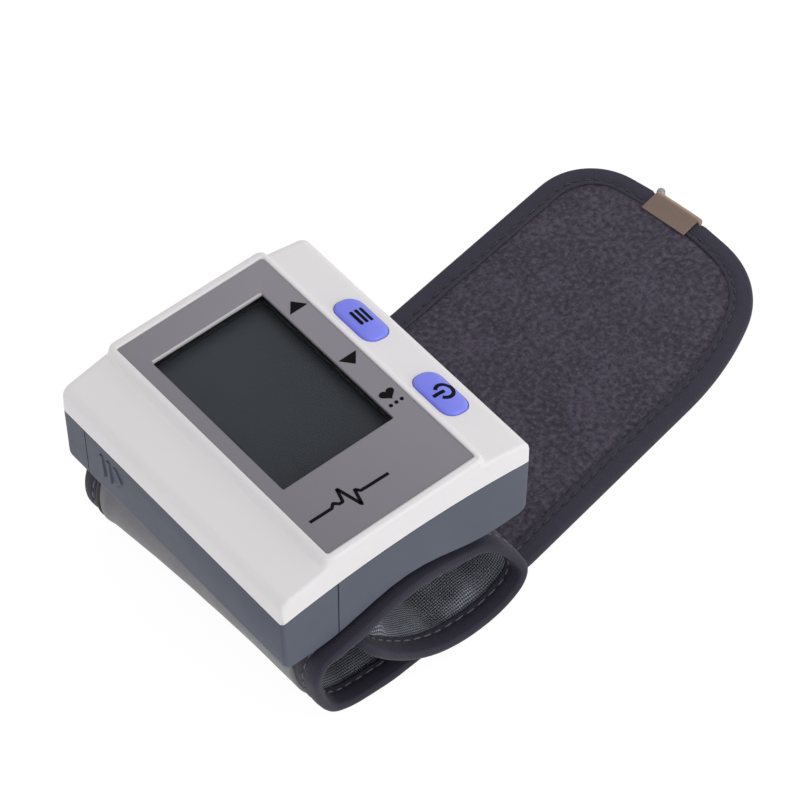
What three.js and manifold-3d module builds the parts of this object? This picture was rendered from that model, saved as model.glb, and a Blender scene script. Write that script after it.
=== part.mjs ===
// Wrist blood pressure monitor: a two-part housing with a display and two keys, a sliding
// battery cover, an air pump with its valve and sensor, and a fabric cuff that curls under
// the housing into a wrist loop and runs out flat to a wide tongue.
// Millimetres, +Z up, +X to the reader's right, origin on the table under the housing's middle.
import * as THREE from 'three';
import { mergeVertices } from 'three/addons/utils/BufferGeometryUtils.js';
import Module from 'manifold-3d';

const wasm = await Module();
wasm.setup();

// Clearances and general sizes
const GAP = 0.3; // between pieces that seat, touch or slide
const OVERRUN = 5; // how far a cutting tool runs past what it cuts
const NEARLY_PARALLEL = 1e-6; // turn below which two lines count as one
const ROUND_SIDES = 24;
const SHORT_STEP = 0.15; // share of a stop below which two cuff stations are one

// Housing
const HOUSING_WIDTH = 68;
const LOWER_HEIGHT = 16.7; // base to parting line at the side walls
const PARTING_RISE = 2.9; // how far the parting line arches up at mid width
const SIDE_HEIGHT = 6.55; // parting line to the sharp top corner of a side wall
const FLANK_RISE = 2.5; // from that corner up to the foot of the display bezel
const BEZEL_HEIGHT = 2.55;
const BEZEL_FOOT_X = 22;
const BEZEL_LEAN = 0.7; // how far the bezel wall leans in
const SIDE_ROUND = 3;
const FOOT_ROUND = 0.4;
const RIM_ROUND = 1.2;
const FRONT_ROUND = 0.9; // edges of the front face
const BACK_ROUND = 1.9;
const BEZEL_CORNER_ROUND = 2.2; // seen from above
const LEAST_ROUND = 0.1; // of an edge that another edge runs over
const SIDE_DRAFT = 0.5;
const BASE_ROUND = 2.3;
const ARCH_RISE = 4.9; // hollow of the base that the cuff lies in
const ARCH_HALF_WIDTH = 25;
const UPPER_WALL = 1.8;
const LOWER_WALL = 1.6;

// Display stack
const PANEL_WIDTH = 39.6;
const PANEL_X = -0.2;
const PANEL_FRONT_MARGIN = 2.1; // shell in front of the panel
const PANEL_BACK_MARGIN = 3;
const PANEL_ROUND = 0.3;
const PANEL_DROP = 0.2; // below the rim
const PANEL_THICKNESS = 0.7;
const PANEL_WALL = 2.2; // shell under the panel
const WINDOW_WIDTH = 30.1;
const WINDOW_LENGTH = 44.5;
const WINDOW_X = -1.55;
const WINDOW_FRONT_MARGIN = 18.7; // panel in front of the window
const WINDOW_BACK_MARGIN = 7.6;
const WINDOW_ROUND = 0.4;
const LENS_THICKNESS = 1;
const LENS_SEAT = 1;
const LCD_THICKNESS = 2.2;
const LCD_MARGIN = 0.75; // glass beyond the window on each side
const HOLDER_HEIGHT = 8;
const HOLDER_LIP = 0.6;
const HOLDER_NECK_WALL = 0.6;
const HOLDER_FLANGE = 1.5;
const STRIP_WIDTH = 2.2; // rubber contact strips under the glass

// Keys and switches
const KEY_WIDTH = 6.8;
const KEY_LENGTH = 13.4;
const KEY_ROUND = 2.7;
const KEY_PROUD = 1.1;
const KEY_BEVEL = 0.8;
const KEY_FLANGE = 0.8; // width and thickness of the flange under the shell
const KEY_X = 26.95;
const MEMORY_KEY_Y = 10.5;
const POWER_KEY_Y = -16.1;
const KEY_TRAVEL = 0.5;
const KEY_STEM_RADIUS = 1.5;
const SWITCH_SIZE = 6;
const SWITCH_HEIGHT = 2.6;
const SWITCH_FLOOR = 0.8;
const PLUNGER_RADIUS = 1.7;
const PLUNGER_PROUD = 0.6;

// Circuit board
const BOARD_THICKNESS = 1.6;
const CHIP_SIZE = 8;
const CHIP_THICKNESS = 1.4;
const CHIP_X = 22;
const CHIP_Y = 22;
const BUZZER_RADIUS = 4.5;
const BUZZER_HEIGHT = 3.2;
const BUZZER_X = 20.5;
const BUZZER_FRONT_SPACE = 5; // from the front face

// Battery bay: two AAA cells, one above the other
const CELL_DIAMETER = 10.3;
const CELL_LENGTH = 44.5;
const CELL_NUB_RADIUS = 1.9;
const CELL_NUB_LENGTH = 1;
const CELL_X = -25.35;
const CONTACT_SPRING_LENGTH = 3.7;
const CONTACT_SPRING_RADIUS = 2.8;
const CONTACT_WIRE_RADIUS = 0.35;
const CONTACT_TURNS = 3;
const CONTACT_THICKNESS = 0.5;
const CONTACT_WIDTH = 7;
const RIB_WALL = 1.5;
const RIB_TOP_DROP = 2.25; // ribs end this far below the top corner of the side wall
const COVER_BACK_MARGIN = 8.4; // lower shell behind the cover
const COVER_FRONT_WIDTH = 15.1;
const COVER_LIP = 5; // part of the cover that wraps under the base
const COVER_FRONT_LIP = 4;
const COVER_RAIL_WIDTH = 1.5; // rail inside the cover, just under the parting line
const COVER_RAIL_HEIGHT = 2.1;
const GRIP_PITCH = 2.4;
const GRIP_WIDTH = 0.9;
const GRIP_HEIGHT = 6.4;
const GRIP_PROUD = 0.45;
const GRIP_BACK_MARGIN = 5.6; // from the cover's back edge to the first ridge
const GRIP_TOP_DROP = 3; // below the parting line
const GRIP_COUNT = 3;
const GRIP_LEAN = 0.8; // top of a ridge further back than its foot
const GRIP_ARROW = 1.6; // how far the last ridge points to the front

// Screws that clamp the shells and the board
const SCREW_LEFT_X = -13.4;
const SCREW_RIGHT_X = 28.6;
const SCREW_RADIUS = 1.1;
const SCREW_HEAD_RADIUS = 2;
const SCREW_HEAD_HEIGHT = 1.5;
const SCREW_HEAD_SINK = 0.7;
const SCREW_BITE = 4; // thread length above the board
const BOSS_RADIUS = 3;
const UPPER_BOSS_RADIUS = 2.4;

// Air pump, valve, sensor and tubes
const PUMP_FRONT_SPACE = 6.9; // from the front face to the pump case
const PUMP_WIDTH = 14;
const PUMP_LIFT = 0.2; // supports above the highest part of the floor
const SUPPORT_WIDTH = 1.4;
const MOTOR_DIAMETER = 12;
const MOTOR_HEIGHT = 10;
const MOTOR_LENGTH = 15.5;
const MOTOR_CAN_WALL = 0.6;
const ROTOR_RADIUS = 3.9;
const SHAFT_RADIUS = 0.75;
const CRANK_RADIUS = 2.2;
const CRANK_OFFSET = 0.8;
const CRANK_WIDTH = 4;
const PUMP_CASE_LENGTH = 9.4;
const PUMP_CASE_WALL = 1.6;
const DIAPHRAGM_THICKNESS = 1.2;
const PUMP_HEAD_LENGTH = 4.5;
const TUBE_OUTER_RADIUS = 2.1;
const TUBE_BORE_RADIUS = 1.3;
const NIPPLE_RADIUS = 1;
const NIPPLE_LENGTH = 2.5;
const NIPPLE_SPACE = 0.5; // between two nipple ends in one tube
const MANIFOLD_SIZE = 7;
const MANIFOLD_HEIGHT = 5;
const MANIFOLD_Y = 3.5;
const PORT_RADIUS = 1.6;
const PORT_COLLAR_WALL = 1.2;
const VALVE_SIZE = 9;
const VALVE_BORE_DEPTH = 7;
const VALVE_PLUNGER_RADIUS = 1.9;
const VALVE_TRAVEL = 0.8;
const SENSOR_SIZE = 7;
const SENSOR_HEIGHT = 5.6;
const SENSOR_TUBE_LENGTH = 8.3;

// Cuff
const CUFF_THICKNESS = 3;
const LOOP_HEIGHT = 29.2; // table to the cuff's top surface beside the arch
const LEFT_REACH = 28.8; // middle surface of the left curl
const RIGHT_REACH = 29.9; // middle surface of the right curl
const CUFF_FRONT = 38.5; // front edge before it skews
const CUFF_BACK = 39;
const FRONT_SKEW = 3.5;
const BACK_SKEW = 1.5;
const LEFT_SLANT = 0.048; // sideways drift of the left curl for each step to the front
const FLAT_START_X = 22;
const FLAT_MIDDLE_X = 8;
const FLAT_END_X = -4;
const ARCH_STRETCH_LEFT = 21; // cuff follows the arch between these
const ARCH_STRETCH_RIGHT = 17;
const CUFF_SKIN = 0.5; // outer cloth and lining of the air pocket
const CUFF_MARGIN = 4; // sewn edge beside the pocket
const CURLER_THICKNESS = 0.6;
const CURLER_CLEARANCE = 0.25;
const LABEL_THICKNESS = 0.5;
const LABEL_FRONT = 32;
const LABEL_BACK = 30;
const HOOK_THICKNESS = 1.2;
const HOOK_HALF_LENGTH = 28;

// Tongue of the cuff, seen from above
const FOLD_X = 38;
const TONGUE_LENGTH = 96.6;
const TONGUE_BEND_REACH = 71.6; // from the root to where the front edge bends
const TONGUE_BEND_DRIFT = 12.6; // how far the front edge has run back there
const TONGUE_FRONT_DRIFT = 26.8; // the same at the front corner
const TONGUE_TIP_RISE = 55.5; // from the front root corner to where the tip edge bends
const TONGUE_SHOULDER = 6.2; // how far the back corner stays short of the tip
const TONGUE_BACK_DRIFT = 13.6;
const TONGUE_BEND_ROUND = 84;
const TONGUE_FRONT_ROUND = 24.5;
const TONGUE_TIP_ROUND = 24;
const TONGUE_BACK_ROUND = 20;
const TAB_WIDTH = 13;
const TAB_DEPTH = 8.8;
const TAB_PROUD = 1.2;
const TAB_THICKNESS = 0.4;
const TAB_TURN = THREE.MathUtils.degToRad(7.7);
const TAB_MARGIN = 0.4; // from the bend of the tip edge to the tab's middle, to the front
const PIN_RADIUS = 0.55;
const PIN_PROUD = 1.8;

// Levels, worked out upwards from the table
const baseZ = LOOP_HEIGHT + GAP;
const partingZ = baseZ + LOWER_HEIGHT;
const sideTopZ = partingZ + SIDE_HEIGHT;
const footZ = sideTopZ + FLANK_RISE;
const rimZ = footZ + BEZEL_HEIGHT;
const panelTopZ = rimZ - PANEL_DROP;
const panelBottomZ = panelTopZ - PANEL_THICKNESS;
const recessFloorZ = panelBottomZ - GAP;
const lensBottomZ = recessFloorZ - LENS_THICKNESS;
const holderTopZ = lensBottomZ - GAP;
const ceilingZ = recessFloorZ - PANEL_WALL;
const lcdTopZ = holderTopZ - HOLDER_LIP - GAP;
const lcdBottomZ = lcdTopZ - LCD_THICKNESS;
const holderBottomZ = holderTopZ - HOLDER_HEIGHT;
const boardTopZ = holderBottomZ - GAP;
const boardBottomZ = boardTopZ - BOARD_THICKNESS;
const underBoardZ = boardBottomZ - GAP;
const halfWidth = HOUSING_WIDTH / 2;
const panelLength = WINDOW_FRONT_MARGIN + WINDOW_LENGTH + WINDOW_BACK_MARGIN;
const frontY = -panelLength / 2 - PANEL_FRONT_MARGIN;
const backY = panelLength / 2 + PANEL_BACK_MARGIN;
const windowY = (WINDOW_FRONT_MARGIN - WINDOW_BACK_MARGIN) / 2;
const pumpY = frontY + PUMP_FRONT_SPACE + PUMP_WIDTH / 2;
const buzzerY = frontY + BUZZER_FRONT_SPACE + BUZZER_RADIUS;
const floorZ = baseZ + LOWER_WALL;
const cuffHalf = CUFF_THICKNESS / 2;
const flankSlope = FLANK_RISE / (halfWidth - BEZEL_FOOT_X);

function point(x, y) {
  return new THREE.Vector2(x, y);
}

function archZ(x) {
  const share = Math.min(Math.abs(x) / ARCH_HALF_WIDTH, 1);
  return baseZ + (ARCH_RISE * (1 + Math.cos(Math.PI * share))) / 2;
}

function partingLineZ(x) {
  const share = x / halfWidth;
  return partingZ + PARTING_RISE * (1 - share * share);
}

function flankZ(x) {
  return footZ - flankSlope * (Math.abs(x) - BEZEL_FOOT_X);
}

// Solids from meshes and back
function solidOf(geometry) {
  const bare = geometry.clone();
  bare.deleteAttribute('normal');
  bare.deleteAttribute('uv');
  const merged = mergeVertices(bare);
  return new wasm.Manifold(
    new wasm.Mesh({
      numProp: 3,
      vertProperties: Float32Array.from(merged.attributes.position.array),
      triVerts: Uint32Array.from(merged.index.array),
    }),
  );
}

function geometryOf(solid) {
  const mesh = solid.getMesh();
  const geometry = new THREE.BufferGeometry();
  geometry.setAttribute('position', new THREE.BufferAttribute(mesh.vertProperties, mesh.numProp));
  geometry.setIndex(new THREE.BufferAttribute(mesh.triVerts, 1));
  const facets = geometry.toNonIndexed();
  facets.computeVertexNormals();
  return facets;
}

function block(x0, x1, y0, y1, z0, z1) {
  const geometry = new THREE.BoxGeometry(x1 - x0, y1 - y0, z1 - z0);
  geometry.translate((x0 + x1) / 2, (y0 + y1) / 2, (z0 + z1) / 2);
  return solidOf(geometry);
}

function post(x, y, radius, z0, z1) {
  const geometry = new THREE.CylinderGeometry(radius, radius, z1 - z0, ROUND_SIDES);
  geometry.rotateX(Math.PI / 2);
  geometry.translate(x, y, (z0 + z1) / 2);
  return solidOf(geometry);
}

function rodAlongY(x, z, radius, y0, y1) {
  const geometry = new THREE.CylinderGeometry(radius, radius, y1 - y0, ROUND_SIDES);
  geometry.translate(x, (y0 + y1) / 2, z);
  return solidOf(geometry);
}

function rodAlongX(y, z, radius, x0, x1) {
  const geometry = new THREE.CylinderGeometry(radius, radius, x1 - x0, ROUND_SIDES);
  geometry.rotateZ(Math.PI / 2);
  geometry.translate((x0 + x1) / 2, y, z);
  return solidOf(geometry);
}

// A plate with the given outline in plan, from z0 up to z1
function plate(outline, z0, z1) {
  const geometry = new THREE.ExtrudeGeometry(new THREE.Shape(outline), {
    depth: z1 - z0,
    bevelEnabled: false,
  });
  geometry.translate(0, 0, z0);
  return solidOf(geometry);
}

// A prism whose outline is given in X and Z, running from y0 to y1
function prism(outline, y0, y1) {
  const geometry = new THREE.ExtrudeGeometry(new THREE.Shape(outline), {
    depth: y1 - y0,
    bevelEnabled: false,
  });
  geometry.rotateX(Math.PI / 2);
  geometry.translate(0, y1, 0);
  return solidOf(geometry);
}

function rectangle(x, y, width, length) {
  return [
    point(x - width / 2, y - length / 2),
    point(x + width / 2, y - length / 2),
    point(x + width / 2, y + length / 2),
    point(x - width / 2, y + length / 2),
  ];
}

function roundedRectangle(x, y, width, length, radius) {
  const corners = rectangle(x, y, width, length);
  return roundLoop(corners, corners.map(() => radius), 5);
}

// The arc that replaces one corner; radius zero keeps the corner itself
function cornerArc(before, corner, after, radius, steps) {
  if (radius <= 0) {
    return [corner.clone()];
  }
  const inbound = corner.clone().sub(before);
  const outbound = after.clone().sub(corner);
  const room = Math.min(inbound.length(), outbound.length()) / 2;
  inbound.normalize();
  outbound.normalize();
  const turn = Math.atan2(inbound.cross(outbound), inbound.dot(outbound));
  const reach = Math.min(radius * Math.abs(Math.tan(turn / 2)), room);
  const fitted = reach / Math.abs(Math.tan(turn / 2));
  const side = Math.sign(turn);
  const start = corner.clone().addScaledVector(inbound, -reach);
  const centre = start.clone().add(point(-inbound.y, inbound.x).multiplyScalar(side * fitted));
  const arc = [];
  for (let step = 0; step <= steps; step += 1) {
    const swept = (turn * step) / steps;
    arc.push(start.clone().rotateAround(centre, swept));
  }
  return arc;
}

function roundPath(points, radii, steps) {
  return points.flatMap((corner, i) => {
    const isEnd = i === 0 || i === points.length - 1;
    return isEnd ? [corner.clone()] : cornerArc(points[i - 1], corner, points[i + 1], radii[i], steps);
  });
}

function roundLoop(points, radii, steps) {
  const count = points.length;
  return points.flatMap((corner, i) =>
    cornerArc(points[(i + count - 1) % count], corner, points[(i + 1) % count], radii[i], steps),
  );
}

// An open path moved to its left by the inset, its corners kept sharp
function insetPath(points, inset) {
  const edges = points.slice(1).map((end, i) => {
    const along = end.clone().sub(points[i]).normalize();
    const inward = point(-along.y, along.x).multiplyScalar(inset);
    return { along, start: points[i].clone().add(inward), end: end.clone().add(inward) };
  });
  const moved = [edges[0].start];
  for (let i = 1; i < edges.length; i += 1) {
    const turn = edges[i - 1].along.cross(edges[i].along);
    const between = edges[i].start.clone().sub(edges[i - 1].start);
    const reach = Math.abs(turn) < NEARLY_PARALLEL ? 0 : between.cross(edges[i].along) / turn;
    moved.push(
      reach === 0
        ? edges[i].start
        : edges[i - 1].start.clone().addScaledVector(edges[i - 1].along, reach),
    );
  }
  moved.push(edges[edges.length - 1].end);
  return moved;
}

// A closed mesh through rings of equal count; caps are triangles of ring indices
function loft(rings, caps, endCaps = caps) {
  const count = rings[0].length;
  const positions = rings.flat().flatMap((corner) => [corner.x, corner.y, corner.z]);
  const faces = [];
  for (let ring = 0; ring < rings.length - 1; ring += 1) {
    for (let i = 0; i < count; i += 1) {
      const next = (i + 1) % count;
      const a = ring * count + i;
      const b = ring * count + next;
      faces.push(a, b, b + count, a, b + count, a + count);
    }
  }
  const last = (rings.length - 1) * count;
  caps.forEach(([a, b, c]) => faces.push(c, b, a));
  endCaps.forEach(([a, b, c]) => faces.push(last + a, last + b, last + c));
  const geometry = new THREE.BufferGeometry();
  geometry.setAttribute('position', new THREE.Float32BufferAttribute(positions, 3));
  geometry.setIndex(volumeOf(positions, faces) < 0 ? faces.reverse() : faces);
  return solidOf(geometry);
}

function volumeOf(positions, faces) {
  const corner = (i) => new THREE.Vector3().fromArray(positions, faces[i] * 3);
  let sum = 0;
  for (let i = 0; i < faces.length; i += 3) {
    sum += corner(i).dot(corner(i + 1).cross(corner(i + 2)));
  }
  return sum / 6;
}

// Housing cross-sections in X and Z, drawn anticlockwise with the inside on the left
const profileSteps = 4;
const lineSteps = 12;
const bevelSteps = 3;

// Corners of the upper shell where the bezel is narrower on each side by the draw
function upperCorners(draw) {
  const footX = BEZEL_FOOT_X - draw;
  const topX = footX - BEZEL_LEAN;
  return [
    point(halfWidth, partingZ),
    point(halfWidth, sideTopZ),
    point(footX, flankZ(footX)),
    point(topX, rimZ),
    point(-topX, rimZ),
    point(-footX, flankZ(footX)),
    point(-halfWidth, sideTopZ),
    point(-halfWidth, partingZ),
  ];
}
const upperRounds = [0, SIDE_ROUND, -FOOT_ROUND, RIM_ROUND, RIM_ROUND, -FOOT_ROUND, SIDE_ROUND, 0];

const archShares = [-1, -0.84, -0.68, -0.52, -0.36, -0.18, 0, 0.18, 0.36, 0.52, 0.68, 0.84, 1];
function lowerCorners() {
  return [
    point(-halfWidth, partingZ),
    point(-(halfWidth - SIDE_DRAFT), baseZ),
    ...archShares.map((share) => point(share * ARCH_HALF_WIDTH, archZ(share * ARCH_HALF_WIDTH))),
    point(halfWidth - SIDE_DRAFT, baseZ),
    point(halfWidth, partingZ),
  ];
}
const lowerRounds = [0, BASE_ROUND, ...archShares.map(() => 0), BASE_ROUND, 0];

// The section drawn in by the inset; a negative radius marks a hollow corner
function section(corners, rounds, inset, seamShift) {
  const moved = insetPath(corners, inset);
  const radii = rounds.map((round) =>
    (round === 0 ? 0 : Math.max(Math.abs(round - inset), LEAST_ROUND)));
  const profile = roundPath(moved, radii, profileSteps);
  const first = profile[0];
  const last = profile[profile.length - 1];
  first.y = partingLineZ(first.x) + seamShift;
  last.y = partingLineZ(last.x) + seamShift;
  for (let step = 1; step < lineSteps; step += 1) {
    const x = last.x + ((first.x - last.x) * step) / lineSteps;
    profile.push(point(x, partingLineZ(x) + seamShift));
  }
  return profile;
}

// How far a rounded edge draws a surface in at a depth behind the face
function roundInset(radius, depth) {
  return depth < radius ? radius - Math.sqrt(depth * (2 * radius - depth)) : 0;
}

// Depths behind an end face at which its rounded edges have a ring
function ringDepths(radii) {
  const depths = radii.flatMap((radius) =>
    Array.from({ length: profileSteps + 1 }, (_, step) =>
      radius * (1 - Math.cos(((Math.PI / 2) * step) / profileSteps))));
  return [...new Set(depths)].sort((a, b) => a - b);
}

// A housing half with rounded front and back edges
function housingBody(cornersAt, rounds, seamShift, cornerRound) {
  const stations = (endRound) => ringDepths([endRound, cornerRound]).map((depth) => ({
    depth,
    outline: section(
      cornersAt(roundInset(cornerRound, depth)), rounds, roundInset(endRound, depth), seamShift),
  }));
  const front = stations(FRONT_ROUND);
  const back = stations(BACK_ROUND);
  const ring = (outline, y) => outline.map((p) => new THREE.Vector3(p.x, y, p.y));
  const rings = [
    ...front.map(({ depth, outline }) => ring(outline, frontY + depth)),
    ...back.map(({ depth, outline }) => ring(outline, backY - depth)).reverse(),
  ];
  return loft(
    rings,
    THREE.ShapeUtils.triangulateShape(front[0].outline, []),
    THREE.ShapeUtils.triangulateShape(back[0].outline, []));
}

// Screw places, shared by both shells, the board and the screws
const screwMargin = LOWER_WALL + GAP + UPPER_BOSS_RADIUS;
const screwPlaces = [
  [SCREW_LEFT_X, frontY + screwMargin],
  [SCREW_RIGHT_X, frontY + screwMargin],
  [SCREW_LEFT_X, backY - screwMargin],
  [SCREW_RIGHT_X, backY - screwMargin],
];
const screwTopZ = boardTopZ + SCREW_BITE;
const screwHeadZ = (x) => archZ(x) + SCREW_HEAD_SINK;

// Display sizes, from the window outwards
const lcdWidth = WINDOW_WIDTH + 2 * LCD_MARGIN;
const lcdLength = WINDOW_LENGTH + 2 * LCD_MARGIN;
const pocketWidth = lcdWidth + 2 * GAP;
const pocketLength = lcdLength + 2 * GAP;
const neckWidth = pocketWidth + 2 * HOLDER_NECK_WALL;
const neckLength = pocketLength + 2 * HOLDER_NECK_WALL;
const openingWidth = neckWidth + 2 * GAP;
const openingLength = neckLength + 2 * GAP;
const lensWidth = openingWidth + 2 * LENS_SEAT;
const lensLength = openingLength + 2 * LENS_SEAT;

function windowPlate(width, length, z0, z1) {
  return plate(roundedRectangle(WINDOW_X, windowY, width, length, WINDOW_ROUND), z0, z1);
}

// Keys: upright walls, with the top and the flange sheared to lie along the flank
function keyOutline(y, margin) {
  return roundedRectangle(
    KEY_X, y, KEY_WIDTH + 2 * margin, KEY_LENGTH + 2 * margin, KEY_ROUND + margin);
}

// Rings of the key outline, each drawn in by its inset and tilted to lie along the flank
function keyLoft(y, levels) {
  const rings = levels.map(({ inset, z }) =>
    keyOutline(y, -inset).map((p) => new THREE.Vector3(p.x, p.y, z - flankSlope * (p.x - KEY_X))));
  return loft(rings, THREE.ShapeUtils.triangulateShape(keyOutline(y, 0), []));
}

const flangeTopZ = flankZ(KEY_X) - UPPER_WALL * Math.hypot(1, flankSlope) - GAP;
const flangeBottomZ = flangeTopZ - KEY_FLANGE;
const plungerTopZ = boardTopZ + GAP + SWITCH_HEIGHT + PLUNGER_PROUD;
const plungerBottomZ = boardTopZ + GAP + SWITCH_FLOOR + KEY_TRAVEL + GAP;

function key(y) {
  const capTopZ = flankZ(KEY_X) + KEY_PROUD;
  const levels = [{ inset: 0, z: flangeBottomZ + KEY_FLANGE / 2 }];
  for (let step = 0; step <= bevelSteps; step += 1) {
    const angle = ((Math.PI / 2) * step) / bevelSteps;
    levels.push({
      inset: KEY_BEVEL * (1 - Math.cos(angle)),
      z: capTopZ - KEY_BEVEL * (1 - Math.sin(angle)),
    });
  }
  const flange = keyLoft(y, [
    { inset: -KEY_FLANGE, z: flangeBottomZ },
    { inset: -KEY_FLANGE, z: flangeTopZ },
  ]);
  const stem = post(KEY_X, y, KEY_STEM_RADIUS, plungerTopZ + GAP, flangeTopZ);
  return keyLoft(y, levels).add(flange).add(stem);
}

function keySwitch(y) {
  const half = SWITCH_SIZE / 2;
  const bottom = boardTopZ + GAP;
  const body = block(KEY_X - half, KEY_X + half, y - half, y + half, bottom, bottom + SWITCH_HEIGHT);
  const bore = post(KEY_X, y, PLUNGER_RADIUS + GAP, bottom + SWITCH_FLOOR, bottom + OVERRUN);
  return body.subtract(bore);
}

function keyPlunger(y) {
  return post(KEY_X, y, PLUNGER_RADIUS, plungerBottomZ, plungerTopZ);
}

// Upper shell: bezel, panel recess, display opening, key holes and screw bosses
function upperShell() {
  const outside = housingBody(upperCorners, upperRounds, GAP / 2, BEZEL_CORNER_ROUND);
  const hollow = insetPath(upperCorners(0), UPPER_WALL).map((p) => point(p.x, Math.min(p.y, ceilingZ)));
  hollow[0].y = partingZ - OVERRUN;
  hollow[hollow.length - 1].y = partingZ - OVERRUN;
  const cuts = [
    prism(hollow, frontY + UPPER_WALL, backY - UPPER_WALL),
    plate(panelOutline(GAP), recessFloorZ, rimZ + OVERRUN),
    windowPlate(lensWidth + 2 * GAP, lensLength + 2 * GAP, holderTopZ, rimZ),
    windowPlate(openingWidth, openingLength, ceilingZ - OVERRUN, rimZ),
    plate(keyOutline(MEMORY_KEY_Y, GAP), partingZ, rimZ + OVERRUN),
    plate(keyOutline(POWER_KEY_Y, GAP), partingZ, rimZ + OVERRUN),
  ];
  let shell = cuts.reduce((body, cut) => body.subtract(cut), outside);
  screwPlaces.forEach(([x, y]) => {
    const roofZ = Math.abs(x) < BEZEL_FOOT_X ? ceilingZ : flankZ(x) - UPPER_WALL;
    const bossTopZ = roofZ + GAP;
    shell = shell.add(post(x, y, UPPER_BOSS_RADIUS, boardTopZ + GAP, bossTopZ));
    shell = shell.subtract(post(x, y, SCREW_RADIUS + GAP, boardTopZ, screwTopZ + GAP));
  });
  return shell;
}

function panelOutline(margin) {
  return roundedRectangle(
    PANEL_X, 0, PANEL_WIDTH + 2 * margin, panelLength + 2 * margin, PANEL_ROUND + margin);
}

function displayPanel() {
  const sheet = plate(panelOutline(0), panelBottomZ, panelTopZ);
  return sheet.subtract(windowPlate(WINDOW_WIDTH, WINDOW_LENGTH, recessFloorZ, rimZ));
}

// Dark frame that carries the display glass and lines the sides of the window
function lcdHolder() {
  const flangeWidth = neckWidth + 2 * HOLDER_FLANGE;
  const flange = windowPlate(flangeWidth, neckLength, holderBottomZ, ceilingZ - GAP);
  const neck = windowPlate(neckWidth, neckLength, holderBottomZ, holderTopZ);
  const pocket = windowPlate(pocketWidth, pocketLength, boardBottomZ, lcdTopZ + GAP);
  const opening = windowPlate(WINDOW_WIDTH, WINDOW_LENGTH, boardBottomZ, rimZ);
  return flange.add(neck).subtract(pocket).subtract(opening);
}

function contactStrip(side) {
  const y = windowY + side * (WINDOW_LENGTH - STRIP_WIDTH) / 2;
  const half = STRIP_WIDTH / 2;
  const left = WINDOW_X - WINDOW_WIDTH / 2;
  return block(left, left + WINDOW_WIDTH, y - half, y + half, boardTopZ + GAP, lcdBottomZ - GAP);
}

// Battery bay, from the cover's seams inwards
const coverSeamX = -halfWidth + COVER_FRONT_WIDTH;
const coverBackY = backY - COVER_BACK_MARGIN;
const gripFirstY = coverBackY - GRIP_BACK_MARGIN;
const partitionX = coverSeamX + GAP;
const partitionEndX = partitionX + RIB_WALL;
const cellRadius = CELL_DIAMETER / 2;
const lowerCellZ = floorZ + GAP + cellRadius;
const upperCellZ = lowerCellZ + CELL_DIAMETER + GAP;
const bayBackY = coverBackY + GAP;
const backContactY = bayBackY - GAP - CONTACT_THICKNESS;
const bayEndY = backContactY - GAP;
const cellBayLength = CONTACT_SPRING_LENGTH + GAP + CELL_LENGTH;
const bayFrontY = bayEndY - cellBayLength;
const frontContactY = bayFrontY - GAP - CONTACT_THICKNESS;
const ribTopZ = sideTopZ - RIB_TOP_DROP;
const coverWallX = -halfWidth + LOWER_WALL;
const ribLeftX = coverWallX + COVER_RAIL_WIDTH + GAP;

// The part of the lower shell that comes away as the cover, grown by the margin
function coverRegion(margin) {
  const corner = block(
    -halfWidth - OVERRUN, coverSeamX + margin,
    frontY - OVERRUN, coverBackY + margin,
    baseZ - OVERRUN, rimZ);
  const bayFloor = block(
    -halfWidth + COVER_LIP + margin, coverSeamX + OVERRUN,
    frontY + COVER_FRONT_LIP + margin, coverBackY + OVERRUN,
    baseZ - OVERRUN, floorZ + OVERRUN);
  return corner.subtract(bayFloor);
}

function lowerBody() {
  const outside = housingBody(lowerCorners, lowerRounds, -GAP / 2, 0);
  const hollow = insetPath(lowerCorners(), LOWER_WALL);
  hollow[0].y = rimZ;
  hollow[hollow.length - 1].y = rimZ;
  return outside.subtract(prism(hollow, frontY + LOWER_WALL, backY - LOWER_WALL));
}

// A grip ridge in Y and Z; the last one is bent like an arrow head to show which way to push
function coverGrip(place) {
  const isArrow = place === GRIP_COUNT - 1;
  const topZ = partingZ - GRIP_TOP_DROP;
  const topY = gripFirstY - place * GRIP_PITCH;
  const middleY = topY - GRIP_LEAN / 2 - (isArrow ? GRIP_ARROW : 0);
  const footY = topY - (isArrow ? 0 : GRIP_LEAN);
  const line = [
    point(topY, topZ),
    point(middleY, topZ - GRIP_HEIGHT / 2),
    point(footY, topZ - GRIP_HEIGHT),
  ];
  const half = GRIP_WIDTH / 2;
  const outline = [
    ...line.map((p) => point(p.x - half, p.y)),
    ...line.map((p) => point(p.x + half, p.y)).reverse(),
  ];
  const ridge = new THREE.ExtrudeGeometry(new THREE.Shape(outline), {
    depth: GRIP_PROUD + LOWER_WALL / 2,
    bevelEnabled: false,
  });
  ridge.rotateZ(Math.PI / 2);
  ridge.rotateY(Math.PI / 2);
  ridge.translate(-halfWidth + SIDE_DRAFT / 2 - GRIP_PROUD, 0, 0);
  return solidOf(ridge);
}

function batteryCover() {
  const railTopZ = partingZ - GAP;
  const rail = block(
    coverWallX - GAP, coverWallX + COVER_RAIL_WIDTH, frontY + LOWER_WALL / 2, coverBackY - GAP,
    railTopZ - COVER_RAIL_HEIGHT, railTopZ);
  let cover = lowerBody().intersect(coverRegion(-GAP / 2)).add(rail);
  for (let place = 0; place < GRIP_COUNT; place += 1) {
    cover = cover.add(coverGrip(place));
  }
  return cover;
}

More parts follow.
